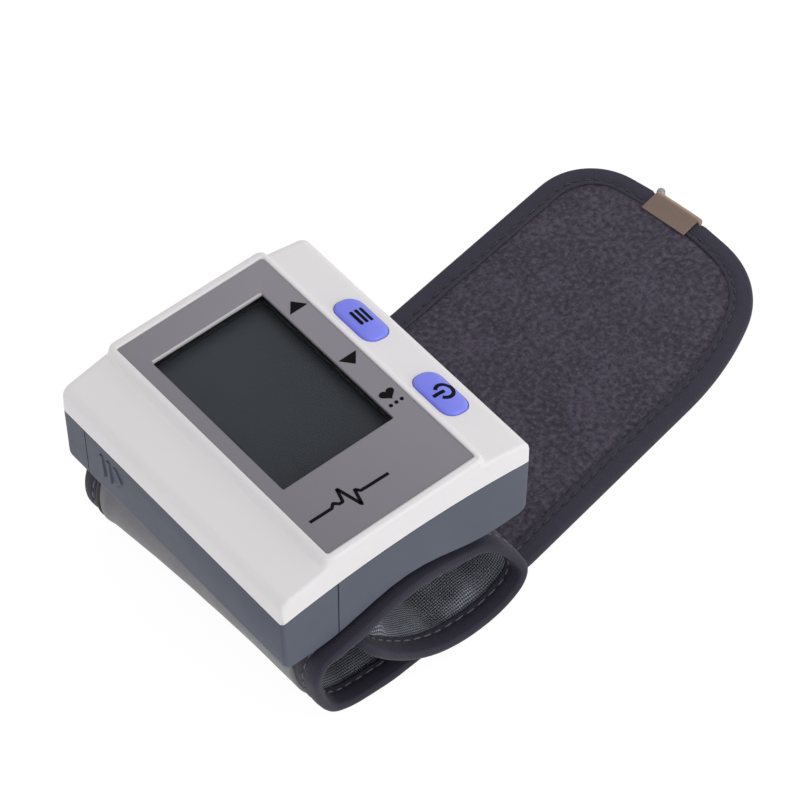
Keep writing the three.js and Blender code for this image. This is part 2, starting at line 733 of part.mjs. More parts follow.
// Pump train along X, from the partition to the outlet
const motorStartX = partitionEndX + GAP;
const motorEndX = motorStartX + MOTOR_LENGTH;
const pumpCaseX = motorEndX + GAP;
const pumpCaseEndX = pumpCaseX + PUMP_CASE_LENGTH;
const diaphragmX = pumpCaseEndX + GAP;
const pumpHeadX = diaphragmX + DIAPHRAGM_THICKNESS + GAP;
const pumpHeadEndX = pumpHeadX + PUMP_HEAD_LENGTH;
const supportTopZ = archZ(0) + LOWER_WALL + PUMP_LIFT;
const pumpBottomZ = supportTopZ + GAP;
const pumpAxisZ = pumpBottomZ + MOTOR_HEIGHT / 2;
const pumpTopZ = pumpBottomZ + MOTOR_HEIGHT;
const pumpFrontY = pumpY - PUMP_WIDTH / 2;
const pumpBackY = pumpY + PUMP_WIDTH / 2;
const outletX = pumpHeadX + PUMP_HEAD_LENGTH / 2;
const manifoldHalf = MANIFOLD_SIZE / 2;
const manifoldBottomZ = pumpAxisZ - MANIFOLD_HEIGHT / 2;
const portHoleRadius = PORT_RADIUS + GAP;

function lowerShell() {
  const cutAway = lowerBody().subtract(coverRegion(GAP / 2));
  const wallMiddle = LOWER_WALL / 2;
  const ribBottomZ = baseZ + wallMiddle;
  const partition = block(
    partitionX, partitionEndX, frontY + wallMiddle, backY - wallMiddle,
    archZ(partitionEndX) + wallMiddle, partingZ);
  const frontRib = block(
    ribLeftX, partitionEndX, frontContactY - GAP - RIB_WALL, frontContactY - GAP, ribBottomZ, ribTopZ);
  const backRib = block(ribLeftX, partitionEndX, bayBackY, bayBackY + RIB_WALL, ribBottomZ, ribTopZ);
  const overLip = block(
    -halfWidth, -halfWidth + COVER_LIP + GAP / 2, frontY, backY, baseZ, floorZ + GAP);
  const underArch = block(
    coverSeamX - OVERRUN, partitionEndX + OVERRUN, frontY, backY,
    baseZ - OVERRUN, archZ(partitionEndX) + wallMiddle);
  const ribs = frontRib.add(backRib).subtract(overLip).subtract(underArch);
  let shell = cutAway.add(partition).add(ribs);
  const supportPlaces = [
    motorStartX + MOTOR_LENGTH / 4, motorEndX - MOTOR_LENGTH / 4,
    pumpCaseX + PUMP_CASE_LENGTH / 2, outletX,
  ];
  supportPlaces.forEach((x) => {
    const half = SUPPORT_WIDTH / 2;
    const root = Math.max(archZ(x - half), archZ(x + half)) + wallMiddle;
    shell = shell.add(block(x - half, x + half, pumpFrontY, pumpBackY, root, supportTopZ));
  });
  const collarRoot = archZ(outletX - portHoleRadius - PORT_COLLAR_WALL) + wallMiddle;
  shell = shell.add(
    post(outletX, MANIFOLD_Y, portHoleRadius + PORT_COLLAR_WALL, collarRoot, manifoldBottomZ - GAP));
  shell = shell.subtract(post(outletX, MANIFOLD_Y, portHoleRadius, baseZ, manifoldBottomZ));
  screwPlaces.forEach(([x, y]) => {
    const root = Math.max(archZ(x - BOSS_RADIUS), archZ(x + BOSS_RADIUS)) + wallMiddle;
    const recessTopZ = screwHeadZ(x) + SCREW_HEAD_HEIGHT + GAP;
    shell = shell.add(post(x, y, BOSS_RADIUS, root, underBoardZ));
    shell = shell.subtract(post(x, y, SCREW_RADIUS + GAP, baseZ - OVERRUN, boardTopZ));
    shell = shell.subtract(post(x, y, SCREW_HEAD_RADIUS + GAP, baseZ - OVERRUN, recessTopZ));
  });
  return shell;
}

function caseScrew([x, y]) {
  const headTopZ = screwHeadZ(x) + SCREW_HEAD_HEIGHT;
  const head = post(x, y, SCREW_HEAD_RADIUS, screwHeadZ(x), headTopZ);
  return head.add(post(x, y, SCREW_RADIUS, screwHeadZ(x), screwTopZ));
}

function circuitBoard() {
  const left = partitionEndX + GAP;
  const right = halfWidth - UPPER_WALL - GAP;
  const edge = UPPER_WALL + GAP;
  let board = block(left, right, frontY + edge, backY - edge, boardBottomZ, boardTopZ);
  board = board.subtract(
    block(left - OVERRUN, pumpHeadEndX + GAP, pumpFrontY - GAP, pumpBackY + GAP,
      boardBottomZ - OVERRUN, boardTopZ + OVERRUN));
  screwPlaces.forEach(([x, y]) => {
    board = board.subtract(
      post(x, y, SCREW_RADIUS + GAP, boardBottomZ - OVERRUN, boardTopZ + OVERRUN));
  });
  return board;
}

function mainChip() {
  const half = CHIP_SIZE / 2;
  return block(
    CHIP_X - half, CHIP_X + half, CHIP_Y - half, CHIP_Y + half,
    underBoardZ - CHIP_THICKNESS, underBoardZ);
}

function buzzer() {
  const bottom = boardTopZ + GAP;
  return post(BUZZER_X, buzzerY, BUZZER_RADIUS, bottom, bottom + BUZZER_HEIGHT);
}

// A cell whose nub points to the front (-1) or the back (+1)
function cell(z, facing, startY) {
  const bodyStart = facing < 0 ? startY + CELL_NUB_LENGTH : startY;
  const bodyEnd = bodyStart + CELL_LENGTH - CELL_NUB_LENGTH;
  const nub = rodAlongY(CELL_X, z, CELL_NUB_RADIUS, startY, startY + CELL_LENGTH);
  return rodAlongY(CELL_X, z, cellRadius, bodyStart, bodyEnd).add(nub);
}

class ContactHelix extends THREE.Curve {
  constructor(z, startY) {
    super();
    this.z = z;
    this.startY = startY;
  }

  getPoint(share, target = new THREE.Vector3()) {
    const angle = 2 * Math.PI * CONTACT_TURNS * share;
    const length = CONTACT_SPRING_LENGTH - 2 * GAP - 2 * CONTACT_WIRE_RADIUS;
    return target.set(
      CELL_X + CONTACT_SPRING_RADIUS * Math.cos(angle),
      this.startY + GAP + CONTACT_WIRE_RADIUS + length * share,
      this.z + CONTACT_SPRING_RADIUS * Math.sin(angle),
    );
  }
}

function circle(radius, sides) {
  const corners = [];
  for (let side = 0; side < sides; side += 1) {
    const angle = (2 * Math.PI * side) / sides;
    corners.push(point(radius * Math.cos(angle), radius * Math.sin(angle)));
  }
  return corners;
}

function contactSpring(z, startY) {
  return solidOf(new THREE.ExtrudeGeometry(new THREE.Shape(circle(CONTACT_WIRE_RADIUS, 5)), {
    extrudePath: new ContactHelix(z, startY),
    steps: 10 * CONTACT_TURNS,
  }));
}

function contactPlate(y, z0, z1) {
  const half = CONTACT_WIDTH / 2;
  return block(CELL_X - half, CELL_X + half, y, y + CONTACT_THICKNESS, z0, z1);
}

// Pump motor can with its bore, and the rotor with the crank that works the diaphragm
function pumpMotor() {
  const can = rodAlongX(pumpY, pumpAxisZ, MOTOR_DIAMETER / 2, motorStartX, motorEndX);
  const flats = block(
    motorStartX - OVERRUN, motorEndX + OVERRUN, pumpFrontY, pumpBackY, pumpBottomZ, pumpTopZ);
  const bore = rodAlongX(
    pumpY, pumpAxisZ, ROTOR_RADIUS + GAP,
    motorStartX + MOTOR_CAN_WALL, motorEndX - MOTOR_CAN_WALL);
  const shaftHole = rodAlongX(
    pumpY, pumpAxisZ, SHAFT_RADIUS + GAP, motorEndX - OVERRUN, motorEndX + OVERRUN);
  return can.intersect(flats).subtract(bore).subtract(shaftHole);
}

const crankX = pumpCaseX + (PUMP_CASE_LENGTH - PUMP_CASE_WALL - CRANK_WIDTH) / 2;

function pumpRotor() {
  const coreStart = motorStartX + MOTOR_CAN_WALL + GAP;
  const coreEnd = motorEndX - MOTOR_CAN_WALL - GAP;
  const core = rodAlongX(pumpY, pumpAxisZ, ROTOR_RADIUS, coreStart, coreEnd);
  const shaft = rodAlongX(pumpY, pumpAxisZ, SHAFT_RADIUS, coreStart, crankX + CRANK_WIDTH);
  const crank = rodAlongX(pumpY, pumpAxisZ + CRANK_OFFSET, CRANK_RADIUS, crankX, crankX + CRANK_WIDTH);
  return core.add(shaft).add(crank);
}

function pumpCase() {
  const body = block(pumpCaseX, pumpCaseEndX, pumpFrontY, pumpBackY, pumpBottomZ, pumpTopZ);
  const chamber = rodAlongX(
    pumpY, pumpAxisZ, CRANK_RADIUS + CRANK_OFFSET + GAP,
    pumpCaseX - OVERRUN, pumpCaseEndX - PUMP_CASE_WALL);
  return body.subtract(chamber);
}

function pumpDiaphragm() {
  return block(
    diaphragmX, diaphragmX + DIAPHRAGM_THICKNESS, pumpFrontY, pumpBackY, pumpBottomZ, pumpTopZ);
}

function pumpHead() {
  const body = block(pumpHeadX, pumpHeadEndX, pumpFrontY, pumpBackY, pumpBottomZ, pumpTopZ);
  return body.add(
    rodAlongY(outletX, pumpAxisZ, NIPPLE_RADIUS, pumpBackY - GAP, pumpBackY + NIPPLE_LENGTH));
}

// Air manifold with three nipples and the port that runs down into the cuff
const manifoldFrontY = MANIFOLD_Y - manifoldHalf;
const manifoldBackY = MANIFOLD_Y + manifoldHalf;
const valveX = outletX + manifoldHalf + 2 * NIPPLE_LENGTH + NIPPLE_SPACE;
const valveHalf = VALVE_SIZE / 2;
const valveBottomZ = underBoardZ - VALVE_SIZE;
const sensorY = manifoldBackY + SENSOR_TUBE_LENGTH + 2 * GAP;
const pocketTopOffset = CUFF_THICKNESS - CUFF_SKIN; // from the cuff's lower face to the pocket top
const curlerTopOffset = pocketTopOffset - CURLER_CLEARANCE;
const bladderTopOffset = curlerTopOffset - CURLER_THICKNESS - CURLER_CLEARANCE;
const bladderBottomOffset = CUFF_SKIN + CURLER_CLEARANCE;
const archSlopeRoom = PORT_RADIUS * (Math.PI * ARCH_RISE) / (2 * ARCH_HALF_WIDTH);

function cuffLowerFaceZ(x) {
  return archZ(x) - GAP - CUFF_THICKNESS;
}

function airManifold() {
  const body = block(
    outletX - manifoldHalf, outletX + manifoldHalf, manifoldFrontY, manifoldBackY,
    manifoldBottomZ, manifoldBottomZ + MANIFOLD_HEIGHT);
  const portEndZ = cuffLowerFaceZ(outletX) + bladderTopOffset + archSlopeRoom + GAP;
  return body
    .add(rodAlongY(outletX, pumpAxisZ, NIPPLE_RADIUS,
      manifoldFrontY - NIPPLE_LENGTH, manifoldBackY + NIPPLE_LENGTH))
    .add(rodAlongX(MANIFOLD_Y, pumpAxisZ, NIPPLE_RADIUS, outletX, outletX + manifoldHalf + NIPPLE_LENGTH))
    .add(post(outletX, MANIFOLD_Y, PORT_RADIUS, portEndZ, pumpAxisZ));
}

function tubeAlongY(y0, y1) {
  const outside = rodAlongY(outletX, pumpAxisZ, TUBE_OUTER_RADIUS, y0, y1);
  return outside.subtract(rodAlongY(outletX, pumpAxisZ, TUBE_BORE_RADIUS, y0 - OVERRUN, y1 + OVERRUN));
}

function valveTube() {
  const x0 = outletX + manifoldHalf + GAP;
  const x1 = valveX - GAP;
  const outside = rodAlongX(MANIFOLD_Y, pumpAxisZ, TUBE_OUTER_RADIUS, x0, x1);
  return outside.subtract(
    rodAlongX(MANIFOLD_Y, pumpAxisZ, TUBE_BORE_RADIUS, x0 - OVERRUN, x1 + OVERRUN));
}

const valveCentreX = valveX + valveHalf;
const valveBoreTopZ = valveBottomZ + VALVE_BORE_DEPTH;

function exhaustValve() {
  const body = block(
    valveX, valveX + VALVE_SIZE, MANIFOLD_Y - valveHalf, MANIFOLD_Y + valveHalf,
    valveBottomZ, underBoardZ);
  const bore = post(
    valveCentreX, MANIFOLD_Y, VALVE_PLUNGER_RADIUS + GAP, valveBottomZ - OVERRUN, valveBoreTopZ);
  return body.subtract(bore).add(
    rodAlongX(MANIFOLD_Y, pumpAxisZ, NIPPLE_RADIUS, valveX - NIPPLE_LENGTH, valveX + GAP));
}

function valvePlunger() {
  return post(
    valveCentreX, MANIFOLD_Y, VALVE_PLUNGER_RADIUS,
    valveBottomZ + GAP, valveBoreTopZ - VALVE_TRAVEL - GAP);
}

function pressureSensor() {
  const half = SENSOR_SIZE / 2;
  const body = block(
    outletX - half, outletX + half, sensorY, sensorY + SENSOR_SIZE,
    underBoardZ - SENSOR_HEIGHT, underBoardZ);
  return body.add(rodAlongY(outletX, pumpAxisZ, NIPPLE_RADIUS, sensorY - NIPPLE_LENGTH, sensorY + GAP));
}

// Cuff strip: its middle line in X and Z, from the fold of the tongue along the table, up the
// left curl, under the housing, down the right curl and back inside as the flap. Each stop also
// says how far the front and the back edge are skewed there.
const topMiddleZ = LOOP_HEIGHT - cuffHalf;
const flapRestZ = CUFF_THICKNESS + GAP + cuffHalf;
const bottomEndX = FOLD_X - cuffHalf - GAP;

// Front and back skew shares of the flat stretch
const flatSkewShares = [[-1.29, 1], [-0.75, 0.6], [-0.3, 0.25], [-0.04, 0]];
const archFrontSkewShare = 0.51;
const archBackSkewShare = 0.2;

// Across share of the reach, height share of the loop, front and back skew shares, slant share
const leftCurlShares = [
  [0.278, 0.004, 0, 0, 0.1], [0.507, 0.053, 0, 0, 0.3], [0.625, 0.111, 0, 0, 0.45],
  [0.774, 0.26, 0.02, 0, 0.75], [0.868, 0.416, 0.08, 0, 0.9], [0.948, 0.592, 0.16, 0, 1],
  [0.993, 0.756, 0.26, 0.05, 1], [1, 0.874, 0.34, 0.1, 0.9], [0.969, 0.962, 0.42, 0.1, 0.7],
  [0.889, 1, 0.48, 0.15, 0.4],
];
const archStretchShares = [-1, -0.667, -0.333, 0, 0.4, 0.72, 1];

// Across share of the reach, height share of the loop, front skew share, back skew share
const rightCurlShares = [
  [0.702, 0.969, 0.53, 0.3], [0.823, 0.838, 0.55, 0.35], [0.916, 0.664, 0.6, 0.4],
  [0.98, 0.485, 0.72, 0.5], [1, 0.336, 0.85, 0.6], [0.97, 0.2, 0.97, 0.7], [0.893, 0.1, 1, 0.8],
];
const flapShares = [
  [0.769, 0.03, 1, 0.9], [0.602, 0, 1, 1], [0.418, 0.011, 1, 1], [0.234, 0.066, 1, 1],
  [0.067, 0.162, 0.98, 1], [-0.1, 0.306, 0.95, 1], [-0.251, 0.489, 0.92, 1],
  [-0.385, 0.69, 0.88, 1], [-0.508, 0.9, 0.85, 1],
];

function stop(x, z, frontShare, backShare, slantShare = 0) {
  return {
    x,
    z,
    front: -CUFF_FRONT - FRONT_SKEW * frontShare,
    back: CUFF_BACK - BACK_SKEW * backShare,
    slant: LEFT_SLANT * slantShare,
  };
}

const flatStops = [bottomEndX, FLAT_START_X, FLAT_MIDDLE_X, FLAT_END_X].map((x, i) =>
  stop(x, cuffHalf, ...flatSkewShares[i]));
const leftStops = leftCurlShares.map(([across, up, front, back, slant]) =>
  stop(-LEFT_REACH * across, cuffHalf + (topMiddleZ - cuffHalf) * up, front, back, slant));
const archStops = archStretchShares.map((share) => {
  const x = share * (share < 0 ? ARCH_STRETCH_LEFT : ARCH_STRETCH_RIGHT);
  return stop(x, archZ(x) - GAP - cuffHalf, archFrontSkewShare, archBackSkewShare);
});
const fromRight = ([across, up, front, back]) =>
  stop(RIGHT_REACH * across, flapRestZ + (topMiddleZ - flapRestZ) * up, front, back);
const rightStops = rightCurlShares.map(fromRight);
const flapStops = flapShares.map(fromRight);
const stops = [...flatStops, ...leftStops, ...archStops, ...rightStops, ...flapStops];
const cuffLine = new THREE.CatmullRomCurve3(
  stops.map(({ x, z }) => new THREE.Vector3(x, 0, z)), false, 'centripetal');

// Numbers of the stops where one stretch of the cuff ends and the next begins
const leftStart = flatStops.length - 1;
const archStart = flatStops.length + leftStops.length;
const archEnd = archStart + archStops.length - 1;
const flapStart = archEnd + rightStops.length;
const flapEnd = stops.length - 1;

// Place, outward direction and edges of the strip at a stop number, whole or between two
function cuffStation(number) {
  const share = number / (stops.length - 1);
  const place = cuffLine.getPoint(share);
  const along = cuffLine.getTangent(share);
  const before = stops[Math.floor(number)];
  const after = stops[Math.ceil(number)];
  const blend = number - Math.floor(number);
  return {
    x: place.x,
    z: Math.max(place.z, cuffHalf),
    outX: -along.z,
    outZ: along.x,
    front: THREE.MathUtils.lerp(before.front, after.front, blend),
    back: THREE.MathUtils.lerp(before.back, after.back, blend),
    slant: THREE.MathUtils.lerp(before.slant, after.slant, blend),
  };
}

// Stop number that lies the given distance along the strip from another
function shifted(number, distance) {
  const share = number / (stops.length - 1);
  const probe = 1 / (stops.length - 1) / 8;
  const near = THREE.MathUtils.clamp(share + Math.sign(distance) * probe, 0, 1);
  const speed = cuffLine.getPoint(share).distanceTo(cuffLine.getPoint(near)) / probe;
  return THREE.MathUtils.clamp(number + (distance / speed) * (stops.length - 1), 0, stops.length - 1);
}

// A stretch of strip between two offsets from the middle surface, measured outwards
function strip(from, to, inner, outer, stepsPerStop, edges) {
  const middle = (inner + outer) / 2;
  const numbers = [from];
  for (let place = Math.ceil(from * stepsPerStop); place <= to * stepsPerStop; place += 1) {
    const number = place / stepsPerStop;
    if (number > from + SHORT_STEP && number < to - SHORT_STEP) {
      numbers.push(number);
    }
  }
  numbers.push(to);
  const rings = numbers.map((number) => {
    const at = cuffStation(number);
    const { front, back, round } = edges(at);
    return [
      [outer, front + round], [middle, front], [inner, front + round],
      [inner, back - round], [middle, back], [outer, back - round],
    ].map(([offset, y]) =>
      new THREE.Vector3(at.x + at.outX * offset - at.slant * y, y, at.z + at.outZ * offset));
  });
  return loft(rings, [[0, 1, 2], [0, 2, 3], [0, 3, 4], [0, 4, 5]]);
}

function wholeWidth({ front, back }) {
  return { front, back, round: cuffHalf };
}

function narrowed(margin) {
  return ({ front, back }) => ({ front: front + margin, back: back - margin, round: 0 });
}

function reaching(front, back) {
  return () => ({ front, back, round: 0 });
}

function cuffStretch(from, to) {
  const trimmedFrom = from === 0 ? from : shifted(from, GAP / 2);
  const trimmedTo = to === flapEnd ? to : shifted(to, -GAP / 2);
  return strip(trimmedFrom, trimmedTo, -cuffHalf, cuffHalf, 2, wholeWidth);
}

// Stretch under the housing: a sleeve open at both ends that holds the curler and the bladder
function cuffSleeve() {
  const pocket = strip(
    archStart - 1 / 2, archEnd + 1 / 2, -cuffHalf + CUFF_SKIN, cuffHalf - CUFF_SKIN, 2,
    narrowed(CUFF_MARGIN));
  return cuffStretch(archStart, archEnd)
    .subtract(pocket)
    .subtract(post(outletX, MANIFOLD_Y, portHoleRadius, cuffLowerFaceZ(outletX) + cuffHalf, rimZ));
}

function cuffCurler() {
  const top = curlerTopOffset - cuffHalf;
  const sheet = strip(
    shifted(archStart, GAP), shifted(archEnd, -GAP), top - CURLER_THICKNESS, top, 2,
    narrowed(CUFF_MARGIN + GAP));
  return sheet.subtract(post(outletX, MANIFOLD_Y, portHoleRadius, 0, rimZ));
}

function airBladder() {
  return strip(
    shifted(archStart, GAP), shifted(archEnd, -GAP),
    bladderBottomOffset - cuffHalf, bladderTopOffset - cuffHalf, 2,
    narrowed(CUFF_MARGIN + GAP));
}

function cuffLabel() {
  const inner = cuffHalf + GAP;
  return strip(
    leftStart + 4, leftStart + 8, inner, inner + LABEL_THICKNESS, 2,
    reaching(-LABEL_FRONT, LABEL_BACK));
}

function hookPatch() {
  const inner = cuffHalf + GAP;
  return strip(
    archEnd + 2, archEnd + 6, inner, inner + HOOK_THICKNESS, 2,
    reaching(-HOOK_HALF_LENGTH, HOOK_HALF_LENGTH));
}

// Tongue, lying flat, with a round root that turns in the end of the bottom stretch
const rootFront = flatStops[0].front;
const rootBack = flatStops[0].back;
const tipX = FOLD_X + TONGUE_LENGTH;
const tipY = rootFront + TONGUE_TIP_RISE;

function tongueOutline() {
  const corners = [
    point(FOLD_X, rootFront),
    point(FOLD_X + TONGUE_BEND_REACH, rootFront + TONGUE_BEND_DRIFT),
    point(tipX, rootFront + TONGUE_FRONT_DRIFT),
    point(tipX, tipY),
    point(tipX - TONGUE_SHOULDER, rootBack + TONGUE_BACK_DRIFT),
    point(FOLD_X, rootBack),
  ];
  const rounds = [0, TONGUE_BEND_ROUND, TONGUE_FRONT_ROUND, TONGUE_TIP_ROUND, TONGUE_BACK_ROUND, 0];
  return roundLoop(corners, rounds, 8);
}

const tabY = tipY - TAB_MARGIN;

// A block measured from the tip edge: out past the edge, and along it towards the back
function tabBlock(out0, out1, along0, along1, z0, z1) {
  const geometry = new THREE.BoxGeometry(out1 - out0, along1 - along0, z1 - z0);
  geometry.translate((out0 + out1) / 2, (along0 + along1) / 2, (z0 + z1) / 2);
  geometry.rotateZ(TAB_TURN);
  geometry.translate(tipX, tabY, 0);
  return solidOf(geometry);
}

const tabOuter = TAB_PROUD;
const tabInner = tabOuter - TAB_DEPTH;
const pinX = tabOuter - TAB_THICKNESS - GAP - PIN_RADIUS;
const tabTopZ = CUFF_THICKNESS + GAP + TAB_THICKNESS;

function cuffTongue() {
  const sheet = plate(tongueOutline(), 0, CUFF_THICKNESS);
  const root = rodAlongY(FOLD_X, cuffHalf, cuffHalf, rootFront, rootBack);
  const notch = tabBlock(
    tabInner - GAP, tabOuter + OVERRUN, -TAB_WIDTH / 2 - GAP, TAB_WIDTH / 2 + GAP,
    -OVERRUN, TAB_THICKNESS + GAP);
  const pinRoom = tabBlock(
    pinX - PIN_RADIUS - GAP, tabOuter + OVERRUN,
    -TAB_WIDTH / 2 - GAP, TAB_WIDTH / 2 + PIN_PROUD + GAP,
    -OVERRUN, tabTopZ + OVERRUN);
  return sheet.add(root).subtract(notch).subtract(pinRoom);
}

function tipTab() {
  const half = TAB_WIDTH / 2;
  const outside = tabBlock(tabInner, tabOuter, -half, half, 0, tabTopZ);
  const inside = tabBlock(
    tabInner - OVERRUN, tabOuter - TAB_THICKNESS, -half - OVERRUN, half + OVERRUN,
    TAB_THICKNESS, tabTopZ - TAB_THICKNESS);
  return outside.subtract(inside);
}

function tabPin() {
  const half = TAB_WIDTH / 2;
  const geometry = new THREE.CylinderGeometry(PIN_RADIUS, PIN_RADIUS, TAB_WIDTH + PIN_PROUD, ROUND_SIDES);
  geometry.translate(pinX, (2 * half + PIN_PROUD) / 2 - half, tabTopZ / 2);
  geometry.rotateZ(TAB_TURN);
  geometry.translate(tipX, tabY, 0);
  return solidOf(geometry);
}

// Finishes
function finish(color, roughness, metalness) {
  return new THREE.MeshStandardMaterial({ color, roughness, metalness });
}

const whitePlastic = finish(0xe4e0e1, 0.42, 0);
const greyPlastic = finish(0x5d626c, 0.5, 0);
const panelGrey = finish(0x86838a, 0.45, 0);
const clearLens = finish(0xc8d0d4, 0.08, 0);
const displayGlass = finish(0x43494d, 0.2, 0);
const blackPlastic = finish(0x1c1d20, 0.5, 0);
const blueKey = finish(0x7a80e6, 0.4, 0);
const boardGreen = finish(0x1f5a3a, 0.5, 0);
const steel = finish(0xb8babd, 0.35, 1);
const cellWrap = finish(0x8f9396, 0.35, 0.6);
const pumpPlastic = finish(0xd8d6cf, 0.5, 0);
const softRubber = finish(0x2a2a2c, 0.8, 0);
const silicone = finish(0xd9dcd8, 0.55, 0);
const cuffCloth = finish(0x3d3b48, 0.9, 0);
const labelCloth = finish(0x6f6e70, 0.55, 0);
const hookTape = finish(0x2b2a33, 0.9, 0);
const tapeTan = finish(0x7d6b60, 0.85, 0);

const monitor = new THREE.Group();

function add(name, solid, material) {
  const mesh = new THREE.Mesh(geometryOf(solid), material);
  mesh.name = name;
  monitor.add(mesh);
}

add('upper_shell', upperShell(), whitePlastic);
add('display_panel', displayPanel(), panelGrey);
add('display_lens', windowPlate(lensWidth, lensLength, lensBottomZ, recessFloorZ), clearLens);
add('lcd_holder', lcdHolder(), blackPlastic);
add('lcd_glass', windowPlate(lcdWidth, lcdLength, lcdBottomZ, lcdTopZ), displayGlass);
add('contact_strip_front', contactStrip(-1), softRubber);
add('contact_strip_back', contactStrip(1), softRubber);
add('memory_button', key(MEMORY_KEY_Y), blueKey);
add('power_button', key(POWER_KEY_Y), blueKey);
add('memory_switch', keySwitch(MEMORY_KEY_Y), blackPlastic);
add('power_switch', keySwitch(POWER_KEY_Y), blackPlastic);
add('memory_plunger', keyPlunger(MEMORY_KEY_Y), blackPlastic);
add('power_plunger', keyPlunger(POWER_KEY_Y), blackPlastic);

add('circuit_board', circuitBoard(), boardGreen);
add('main_chip', mainChip(), blackPlastic);
add('buzzer', buzzer(), blackPlastic);

add('lower_shell', lowerShell(), greyPlastic);
add('battery_cover', batteryCover(), greyPlastic);
add('cell_lower', cell(lowerCellZ, -1, bayFrontY), cellWrap);
add('cell_upper', cell(upperCellZ, 1, bayEndY - CELL_LENGTH), cellWrap);
add('contact_spring_lower', contactSpring(lowerCellZ, bayEndY - CONTACT_SPRING_LENGTH), steel);
add('contact_spring_upper', contactSpring(upperCellZ, bayFrontY), steel);
add('contact_plate_front',
  contactPlate(frontContactY, lowerCellZ - CONTACT_WIDTH / 2, upperCellZ + CONTACT_WIDTH / 2), steel);
add('contact_plate_lower',
  contactPlate(backContactY, lowerCellZ - CONTACT_WIDTH / 2, lowerCellZ + CONTACT_WIDTH / 2), steel);
add('contact_plate_upper',
  contactPlate(backContactY, upperCellZ - CONTACT_WIDTH / 2, upperCellZ + CONTACT_WIDTH / 2), steel);
screwPlaces.forEach((place, i) => add(`case_screw_${i + 1}`, caseScrew(place), steel));

add('pump_motor', pumpMotor(), steel);
add('pump_rotor', pumpRotor(), steel);
add('pump_case', pumpCase(), pumpPlastic);
add('pump_diaphragm', pumpDiaphragm(), softRubber);
add('pump_head', pumpHead(), pumpPlastic);
add('air_manifold', airManifold(), pumpPlastic);
add('pump_tube', tubeAlongY(pumpBackY + GAP, manifoldFrontY - GAP), silicone);
add('sensor_tube', tubeAlongY(manifoldBackY + GAP, sensorY - GAP), silicone);
add('valve_tube', valveTube(), silicone);
add('exhaust_valve', exhaustValve(), steel);
add('valve_plunger', valvePlunger(), steel);
add('pressure_sensor', pressureSensor(), blackPlastic);

add('cuff_bottom', cuffStretch(0, leftStart), cuffCloth);
add('cuff_left_curl', cuffStretch(leftStart, archStart), cuffCloth);
add('cuff_sleeve', cuffSleeve(), cuffCloth);
add('cuff_right_curl', cuffStretch(archEnd, flapStart), cuffCloth);
add('cuff_flap', cuffStretch(flapStart, flapEnd), cuffCloth);
add('cuff_curler', cuffCurler(), pumpPlastic);
add('air_bladder', airBladder(), softRubber);
add('cuff_label', cuffLabel(), labelCloth);
add('hook_patch', hookPatch(), hookTape);
add('cuff_tongue', cuffTongue(), cuffCloth);
add('tip_tab', tipTab(), tapeTan);
add('tab_pin', tabPin(), steel);

export default monitor;
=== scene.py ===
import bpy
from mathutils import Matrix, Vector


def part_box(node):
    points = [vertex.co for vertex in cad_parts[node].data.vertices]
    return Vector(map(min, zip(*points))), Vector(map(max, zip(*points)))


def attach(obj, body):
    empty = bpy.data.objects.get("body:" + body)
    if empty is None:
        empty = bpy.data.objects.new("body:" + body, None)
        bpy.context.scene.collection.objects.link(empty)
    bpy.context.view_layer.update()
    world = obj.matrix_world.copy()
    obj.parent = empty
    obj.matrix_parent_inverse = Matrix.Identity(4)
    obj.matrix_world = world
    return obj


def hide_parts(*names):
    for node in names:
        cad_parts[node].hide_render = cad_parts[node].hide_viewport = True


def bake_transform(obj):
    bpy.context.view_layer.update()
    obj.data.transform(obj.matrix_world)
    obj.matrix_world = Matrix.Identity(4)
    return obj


bl_info = {
    "name": "Wrist blood pressure monitor",
    "version": (1, 0, 0),
    "blender": (4, 5, 0),
    "location": "3D View > Sidebar > Monitor",
    "description": "Dresses the wrist monitor: housing, display, keys, cuff, trim and stage",
    "category": "Object",
}

import math

import bmesh
import bpy
import numpy as np
from bpy.props import FloatProperty, FloatVectorProperty, PointerProperty
from mathutils import Matrix

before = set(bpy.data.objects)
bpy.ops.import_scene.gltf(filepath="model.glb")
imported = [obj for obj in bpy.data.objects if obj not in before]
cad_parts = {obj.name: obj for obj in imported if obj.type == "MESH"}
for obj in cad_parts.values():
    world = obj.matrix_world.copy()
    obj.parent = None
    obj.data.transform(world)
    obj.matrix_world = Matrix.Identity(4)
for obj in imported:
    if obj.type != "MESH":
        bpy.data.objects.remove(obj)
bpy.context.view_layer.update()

# Shapes are worked out in millimetres and turned into metres when a mesh is made
MM = 0.001


def tone(code):
    """Linear colour of a six-figure display colour."""
    shares = [int(code[place:place + 2], 16) / 255 for place in (0, 2, 4)]
    return tuple(s / 12.92 if s <= 0.04045 else ((s + 0.055) / 1.055) ** 2.4 for s in shares)


def tint(colour, *shares):
    """The colour times one share, or each of its three parts times its own."""
    return tuple(c * s for c, s in zip(colour, shares * (3 // len(shares))))


def node_box(name):
    """Lowest and highest corner of a CAD node, in millimetres."""
    low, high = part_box(name)
    return np.array(low) / MM, np.array(high) / MM


# Sizes and colours that a user would change

def colour_setting(name, text, value):
    return FloatVectorProperty(
        name=name, description=text, default=value, subtype="COLOR", min=0, max=1)


def length_setting(name, text, value, precision=5):
    return FloatProperty(
        name=name, description=text, default=value, unit="LENGTH", precision=precision)


def share_setting(name, text, value, top=1):
    return FloatProperty(
        name=name, description=text, default=value, subtype="FACTOR", min=0, max=top)


